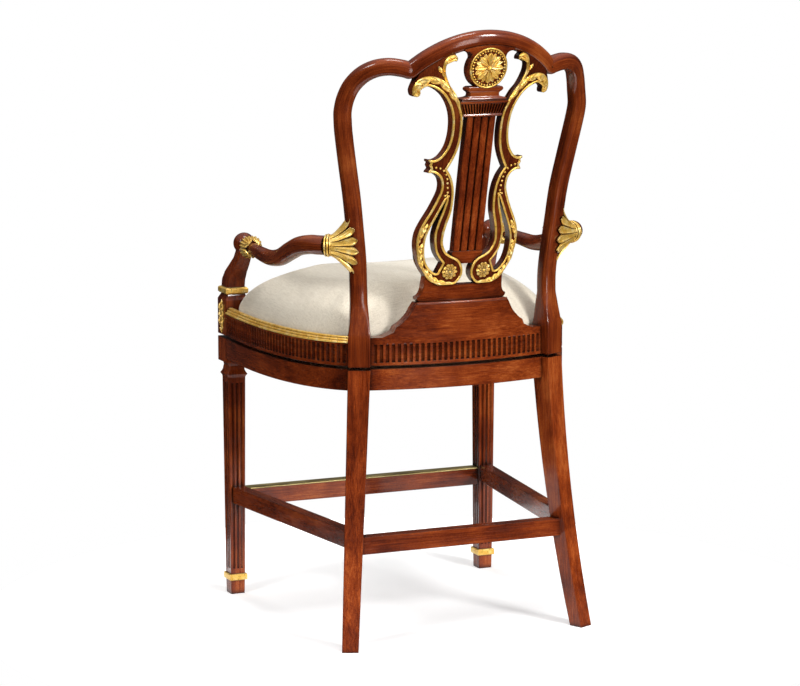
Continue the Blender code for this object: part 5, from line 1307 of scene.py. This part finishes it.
def make_plinth():
    """The shoe under the lyre: coved ends, with cheeks that rise beside the volutes."""
    wide = PLINTH_HALF_WIDTH + PLINTH_FLARE
    half = [(PLINTH_HALF_WIDTH + PLINTH_FLARE * 0.5, PANEL_TOP)]
    half += [(wide, PANEL_TOP + PLINTH_HEIGHT * share) for share in (0.18, COVE_FOOT)]
    for share in shares(COVE_STEPS)[1:]:
        turn = share * pi / 2
        x = wide - PLINTH_FLARE * sin(turn)
        half.append((x, PANEL_TOP + PLINTH_HEIGHT * (1 - (1 - COVE_FOOT) * cos(turn))))
    run = [Vector(point) for point in curve_through(drawn(SCROLL_BODY), 6)]
    for here, after in zip(run, run[1:]):
        along = after - here
        inside = here.x < PLINTH_HALF_WIDTH and here.y < PLINTH_TOP + PLINTH_CHEEK
        if along.x < 0 and along.y < 0 and inside:
            half.append((here.x, max(here.y, PLINTH_TOP)))
    make_board("plinth_shoe", half, -PLINTH_SETBACK, "splat_plinth")


def make_column():
    """The pilaster between the scrolls: four rounded reeds parted by deep grooves, on both faces."""
    low, high = (corner.z - SEAT_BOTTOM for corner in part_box("lyre_column"))
    width = COLUMN_WIDTH / COLUMN_REEDS
    edge = []
    for reed in range(COLUMN_REEDS):
        for share in shares(REED_STEPS):
            u = 2 * share - 1
            x = -COLUMN_WIDTH / 2 + width * (reed + 0.5) + u * (width - REED_GAP) / 2
            edge.append((x, REED_RISE * (1 - abs(u) ** 2.6) ** 0.5))
        if reed < COLUMN_REEDS - 1:
            x = -COLUMN_WIDTH / 2 + width * (reed + 1)
            edge += [(x + REED_GAP * share, -GROOVE_DEPTH) for share in (-0.35, 0.0, 0.35)]
    rings = []
    for share in shares(COLUMN_RINGS):
        z = blend(low, high, share)
        face = back_face(0, z) - COLUMN_SETBACK
        back = [in_seat(x, face + out, z) for x, out in edge]
        rings.append(back + [in_seat(x, face - COLUMN_THICKNESS - out, z) for x, out in edge[::-1]])
    add("column_reeds", skinned(rings), "mahogany_z", stands_for=["lyre_column"], angle=40)


def make_capital():
    """The capital: a bead, a flared band of flutes, a fillet, a ring, a neck and the medallion's cup."""
    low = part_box("lyre_capital")[0].z - SEAT_BOTTOM
    rows = []
    for row, above in zip(CAPITAL_PROFILE, CAPITAL_PROFILE[1:]):
        steps = FLUTE_ROWS if row[0] == FLUTES_FROM else 1
        rows += [[blend(a, b, share) for a, b in zip(row, above)] for share in shares(steps)[:-1]]
    rows.append(CAPITAL_PROFILE[-1])
    place = on_splat()
    rings = []
    for z, half, proud in rows:
        end = min(1.0, abs(2 * (z - FLUTES_FROM) / (FLUTES_TO - FLUTES_FROM) - 1))
        depth = FLUTE_DEPTH * sqrt(1 - end**8)
        edge = []
        for u in shares(CAPITAL_FLUTES * FLUTE_STEPS):
            across = abs((u * CAPITAL_FLUTES) % 1 - 0.5) / FLUTE_SHARE
            carve = depth * sqrt(max(0.0, 1 - across**2))
            edge.append(((2 * u - 1) * half / MM_PER_M, (proud - carve) / MM_PER_M))
        level = low + z / MM_PER_M
        back = [place(x, level, out) for x, out in edge]
        rings.append(back + [place(x, level, -SPLAT_FRONT - out) for x, out in edge[::-1]])
    add("capital_carving", skinned(rings), "mahogany_x", stands_for=["lyre_capital"], angle=35)


def make_ledge():
    """The rounded nosing along the top of the back panel, on which the plinth stands."""
    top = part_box("seat_back_rail")[1].z
    rear = {}
    for vert in NODES["seat_back_rail"].data.vertices:
        spot = NODES["seat_back_rail"].matrix_world @ vert.co
        if spot.z > top - LEDGE_REACH and spot.y > rear.get(round(spot.x, 3), spot).y - 1e-9:
            rear[round(spot.x, 3)] = spot
    path = [rear[x] + Vector((0, -LEDGE_RADIUS * 0.6, -LEDGE_RADIUS * 0.6)) for x in sorted(rear)]
    sections = [section(2 * LEDGE_RADIUS, 2 * LEDGE_RADIUS, 2, LEDGE_SIDES)] * len(path)
    add("panel_ledge", skinned(sweep(path, [Vector((0, 1, 0))] * len(path), sections)), "mahogany_x")


POST_LEAF = ((0, -33, 1.0), (0, -20, 6.0), (0, 0, 8.2), (0, 18, 6.0), (0, 33, 0.8))
POST_SPRIG = ((1, 0, 1.0), (4.5, 6, 2.6), (7.6, 13, 2.2), (8.8, 18, 0.6))
POST_SPRIGS = (-20, -7, 6)
POST_BEADS = (-24, -2, 12)
POST_BEAD = 0.0022
POST_BEAD_RISE = 0.0030
POST_MIDDLE = 0.0365


def make_post_ornament(word, side):
    """A spray of leaves on the outer face of an arm post's block."""
    face = FRONT_LEG_X + BLOCK_HALF

    def place(x, z, out):
        return in_seat(side * (face + out), FRONT_LEG_Y + x, z - PLINTH_TOP + POST_MIDDLE)

    shape = bmesh.new()
    carved_leaf(shape, place, POST_LEAF, lobes=7, height=0.0036)
    for turn in (-1, 1):
        for low in POST_SPRIGS:
            course = [(turn * x, low + z, half) for x, z, half in POST_SPRIG]
            carved_leaf(shape, place, course, lobes=2, height=0.0030, base=0.0010)
    for z in POST_BEADS:
        ball(shape, place(0, z / MM_PER_M + PLINTH_TOP, POST_BEAD_RISE), POST_BEAD)
    add(f"{word}_post_carving", shape, "gilt", stands_for=[f"{word}_post_ornament"])


# Seat

RAIL_THICKNESS = 0.022
SIDE_RAIL_SEAT = 0.0046
SIDE_RAIL_SWELL = 0.012
SIDE_RAIL_FRONT_PULL = 0.417
SIDE_RAIL_BACK_PULL = 0.17
FRONT_RAIL_SETBACK = 0.003
FRONT_RAIL_BOW = 0.016
CLEARANCE = 0.0003
MOULDING_STEPS = 60
MOULDING_BACK = -0.0133
MOULDING_FOOT = 0.0008
MOULDING_TOP = 0.0118
MOULDING_REEDS = 3
MOULDING_NOSE = 0.0022
MOULDING_STEP = (-0.0036, 0.00407)
MOULDING_REED = (0.0026, 0.0022)
MOULDING_REED_MIDDLE = 0.0019
MOULDING_REED_ARC = (-48, 88)
MOULDING_REED_STEPS = 6
GLUE_BLOCK = (0.055, 0.020, 0.036)
CUSHION_FIT = (0.996, 0.992, 0.965)
CUSHION_VOXEL = 0.006
CUSHION_FOOT = 0.012
CUSHION_FRAMES = 20
CUSHION_PRESSURE = 4.0
CUSHION_STIFFNESS = 12
CUSHION_BENDING = 0.4
CUSHION_GROWTH = 0.008


def side_curve(count):
    """Points along the outer face of the left rails, from the front block to the back post."""
    out = Vector((cos(BACK_POST_TURN), -sin(BACK_POST_TURN))) * (BACK_POST_WIDTH / 2)
    back = Vector((sin(BACK_POST_TURN), cos(BACK_POST_TURN))) * SIDE_RAIL_SEAT
    start = Vector((FRONT_LEG_X + BLOCK_HALF, FRONT_LEG_Y + BLOCK_HALF))
    stop = Vector((BACK_POST_X, BACK_POST_Y)) + out + back
    run = stop - start
    first = start + Vector((SIDE_RAIL_SWELL, run.y * SIDE_RAIL_FRONT_PULL))
    second = stop + Vector((-run.x, -run.y * SIDE_RAIL_BACK_PULL))
    points = []
    for t in shares(count):
        u = 1 - t
        points.append(start * u**3 + first * 3 * u * u * t + second * 3 * u * t * t + stop * t**3)
    return points


def front_face(x):
    reach = FRONT_LEG_X - BLOCK_HALF
    return FRONT_LEG_Y - BLOCK_HALF + FRONT_RAIL_SETBACK - FRONT_RAIL_BOW * (1 - (x / reach) ** 2)


def reeds():
    """Profile of the gilt moulding: three rounded reeds that step up and in."""
    points = [(MOULDING_BACK, 0.0), (MOULDING_FOOT, 0.0)]
    for reed in range(MOULDING_REEDS):
        edge, low = MOULDING_NOSE + MOULDING_STEP[0] * reed, MOULDING_STEP[1] * reed
        for share in shares(MOULDING_REED_STEPS):
            turn = radians(blend(*MOULDING_REED_ARC, share))
            out = edge - MOULDING_REED[0] + MOULDING_REED[0] * cos(turn)
            points.append((out, low + MOULDING_REED_MIDDLE + MOULDING_REED[1] * sin(turn)))
    return points + [(MOULDING_BACK, MOULDING_TOP)]


def make_moulding(name, face, side=1):
    rings = []
    for here, point in enumerate(face):
        before, after = neighbours(face, here)
        along = after - before
        out = Vector((along.y, -along.x)).normalized()
        spots = [(point + out * reach, SEAT_RAIL_HEIGHT + CLEARANCE + rise) for reach, rise in reeds()]
        rings.append([in_seat(side * spot.x, spot.y, z) for spot, z in spots])
    add(f"{name}_reeds", skinned(rings), "gilt_moulding", stands_for=[name], angle=50)


def make_mouldings():
    reach = FRONT_LEG_X - BLOCK_HALF
    across = [reach * (2 * share - 1) for share in shares(MOULDING_STEPS)]
    make_moulding("seat_front_moulding", [Vector((x, front_face(x))) for x in across])
    for word, side in SIDES:
        make_moulding(f"seat_{word}_moulding", side_curve(MOULDING_STEPS), side)


def make_deck():
    """The board under the cushion, with a glue block in each front corner beside the arm post."""
    low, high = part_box("seat_deck")
    shape = copied("seat_deck")
    inner = FRONT_LEG_X - BLOCK_HALF - CLEARANCE
    front = front_face(inner) + RAIL_THICKNESS + SHIFT
    long, short, deep = GLUE_BLOCK
    plan = ((inner - long, front), (inner, front), (inner, front + deep), (inner - short, front + deep))
    for side in (-1, 1):
        skin(shape, [[Vector((side * x, y, z)) for x, y in plan] for z in (low.z, high.z)])
    add("deck_board", shape, "softwood", stands_for=["seat_deck"], angle=30)


def inflate(cushion, foot):
    """Fills the cushion out by simulated pressure, with what lies under its foot's height held."""
    pinned = cushion.vertex_groups.new(name="foot")
    pinned.add([v.index for v in cushion.data.vertices if v.co.z < foot], 1.0, "REPLACE")
    cloth = cushion.modifiers.new("cloth", "CLOTH")
    cloth.settings.use_pressure = True
    cloth.settings.uniform_pressure_force = CUSHION_PRESSURE
    cloth.settings.vertex_group_mass = "foot"
    cloth.settings.effector_weights.gravity = 0.0
    cloth.settings.tension_stiffness = CUSHION_STIFFNESS
    cloth.settings.compression_stiffness = CUSHION_STIFFNESS
    cloth.settings.bending_stiffness = CUSHION_BENDING
    cloth.point_cache.frame_start = 1
    cloth.point_cache.frame_end = CUSHION_FRAMES
    for step in range(1, CUSHION_FRAMES + 1):
        bpy.context.scene.frame_set(step)
    apply_modifiers(cushion)


def make_cushion():
    """The linen cushion: a slightly smaller copy of its solid, filled out by simulated pressure."""
    low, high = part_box("seat_cushion")
    middle = (low + high) / 2
    middle.z = low.z
    shape = copied("seat_cushion")
    for vert in shape.verts:
        for axis, fit in enumerate(CUSHION_FIT):
            vert.co[axis] = middle[axis] + (vert.co[axis] - middle[axis]) * fit
    cushion = add("linen_cushion", shape, "linen", stands_for=["seat_cushion"], angle=180)
    remesh = cushion.modifiers.new("remesh", "REMESH")
    remesh.mode = "VOXEL"
    remesh.voxel_size = CUSHION_VOXEL
    apply_modifiers(cushion)
    rest = [vert.co.copy() for vert in cushion.data.vertices]
    inflate(cushion, low.z + CUSHION_FOOT)
    for vert, start in zip(cushion.data.vertices, rest):
        move = vert.co - start
        if move.length > CUSHION_GROWTH:
            vert.co = start + move * (CUSHION_GROWTH / move.length)
    smooth = cushion.modifiers.new("smooth", "CORRECTIVE_SMOOTH")
    smooth.use_only_smooth = True
    smooth.iterations = 8
    finer = cushion.modifiers.new("finer", "SUBSURF")
    finer.levels = 1
    finer.render_levels = 1
    apply_modifiers(cushion)
    cushion.data.shade_smooth()


def apply_modifiers(piece):
    graph = bpy.context.evaluated_depsgraph_get()
    graph.update()
    made = bpy.data.meshes.new_from_object(piece.evaluated_get(graph))
    made.name = piece.name
    piece.modifiers.clear()
    piece.data = made


# Camera, floor and light

CAMERA_PLACE = (2.4021, 5.3843846, 1.4951)
CAMERA_TURN = 0.4136059
CAMERA_RISE = 0.1621952
CAMERA_LENS = 139.423
CAMERA_SENSOR = 36
LAMP_AIM = Vector((0, 0, 0.6))
# Name, place, size and watts
LAMPS = (
    ("key", (-1.8, 4.5, 2.5), 1.0, 220),
    ("rim", (3.2, 1.5, 2.5), 1.0, 62),
    ("top", (0.1, 0.4, 3.6), 1.0, 50),
    ("fill", (-0.6, 4.8, 0.7), 1.2, 36),
    ("front", (0.6, -4.6, 2.2), 1.4, 70),
)
LIT_SIDE = Vector((0.0, 0.15, 0.98))
SIDE_FADE = (0.12, 0.85)
DARK_SIDE = 0.03
AMBIENT = 0.38
FLOOR_RADIUS = 0.85
FLOOR_FADE = (0.45, 0.8)
FLOOR_LIFT = (0.40, 0.75)
FLOOR_GREY = (0.86, 0.86, 0.86, 1)
WHITE = (1, 1, 1, 1)


def facing_away(way):
    """The turn of a camera or lamp that looks against this way."""
    return Vector(way).to_track_quat("Z", "Y").to_euler()


def make_camera(scene):
    lens = bpy.data.cameras.new("view")
    lens.sensor_width = CAMERA_SENSOR
    lens.lens = CAMERA_LENS
    camera = bpy.data.objects.new("view", lens)
    level = cos(CAMERA_RISE)
    camera.location = CAMERA_PLACE
    camera.rotation_euler = facing_away(
        (sin(CAMERA_TURN) * level, cos(CAMERA_TURN) * level, sin(CAMERA_RISE))
    )
    scene.collection.objects.link(camera)
    scene.camera = camera


def make_stage():
    scene = bpy.context.scene
    make_camera(scene)
    shape = bmesh.new()
    bmesh.ops.create_circle(shape, cap_ends=True, segments=96, radius=FLOOR_RADIUS)
    mesh = bpy.data.meshes.new("floor")
    shape.to_mesh(mesh)
    shape.free()
    floor = bpy.data.objects.new("floor", mesh)
    scene.collection.objects.link(floor)
    mesh.materials.append(floor_finish())

    for name, place, size, power in LAMPS:
        light = bpy.data.lights.new(name, "AREA")
        light.size = size
        light.energy = power
        lamp = bpy.data.objects.new(name, light)
        lamp.location = place
        lamp.visible_glossy = name != "front"
        lamp.rotation_euler = facing_away(Vector(place) - LAMP_AIM)
        scene.collection.objects.link(lamp)
    scene.world = studio()
    scene.view_settings.view_transform = "Standard"


def studio():
    """A white studio, whose far side is darker in what it lends the chair by light and reflection."""
    made = Nodes(bpy.data.worlds.new("studio"))
    way = made.read("Generated", "TexCoord")
    lean = made.math("DOT_PRODUCT", way, LIT_SIDE.normalized(), kind="VectorMath")
    mirrored = made.math("MAXIMUM", made.ray("Is Glossy Ray"), made.ray("Is Transmission Ray"))
    lent = made.spread(lean, *SIDE_FADE, DARK_SIDE, 1.0) * made.spread(mirrored, 0.0, 1.0, AMBIENT, 1.0)
    background = made.tree.nodes["Background"].inputs
    made.give(background["Color"], WHITE)
    made.give(background["Strength"], made.math("MAXIMUM", made.ray("Is Camera Ray"), lent))
    return made.owner


def floor_finish():
    """A white floor: it takes the chair's shadow and is lifted to white for the camera."""
    made = Finish("floor", 0.0, 0.1)
    fade = made.spread(made.math("LENGTH", made.place, kind="VectorMath"), *FLOOR_FADE, *FLOOR_LIFT)
    seen = made.ray("Is Camera Ray")
    for name in ("Is Glossy Ray", "Is Transmission Ray"):
        seen = made.math("MAXIMUM", seen, made.ray(name))
    made.set(Base_Color=FLOOR_GREY, Roughness=0.9, Emission_Color=WHITE, Emission_Strength=seen * fade)
    return made.owner


def main():
    make_stage()
    for node, piece in NODES.items():
        piece.data.materials[0] = FINISHES[finish_of(node)]
    for body, names in (("base", BASE_COPIES), ("seat", SEAT_COPIES)):
        for node in names:
            polish(node, body)
    make_back_frame()
    for word, side in SIDES:
        make_arm(word, side)
        make_fan(word, side)
        make_leaf_cup(word, side)
        make_post_ornament(word, side)
        make_scroll(word, side)
        make_rosette(word, side)
    make_ledge()
    make_plinth()
    make_column()
    make_capital()
    make_medallion()
    make_patera("patera_carving", on_splat(), ["medallion_patera"])
    make_patera("front_patera_carving", on_splat(front=True))
    make_mouldings()
    make_deck()
    make_cushion()


main()
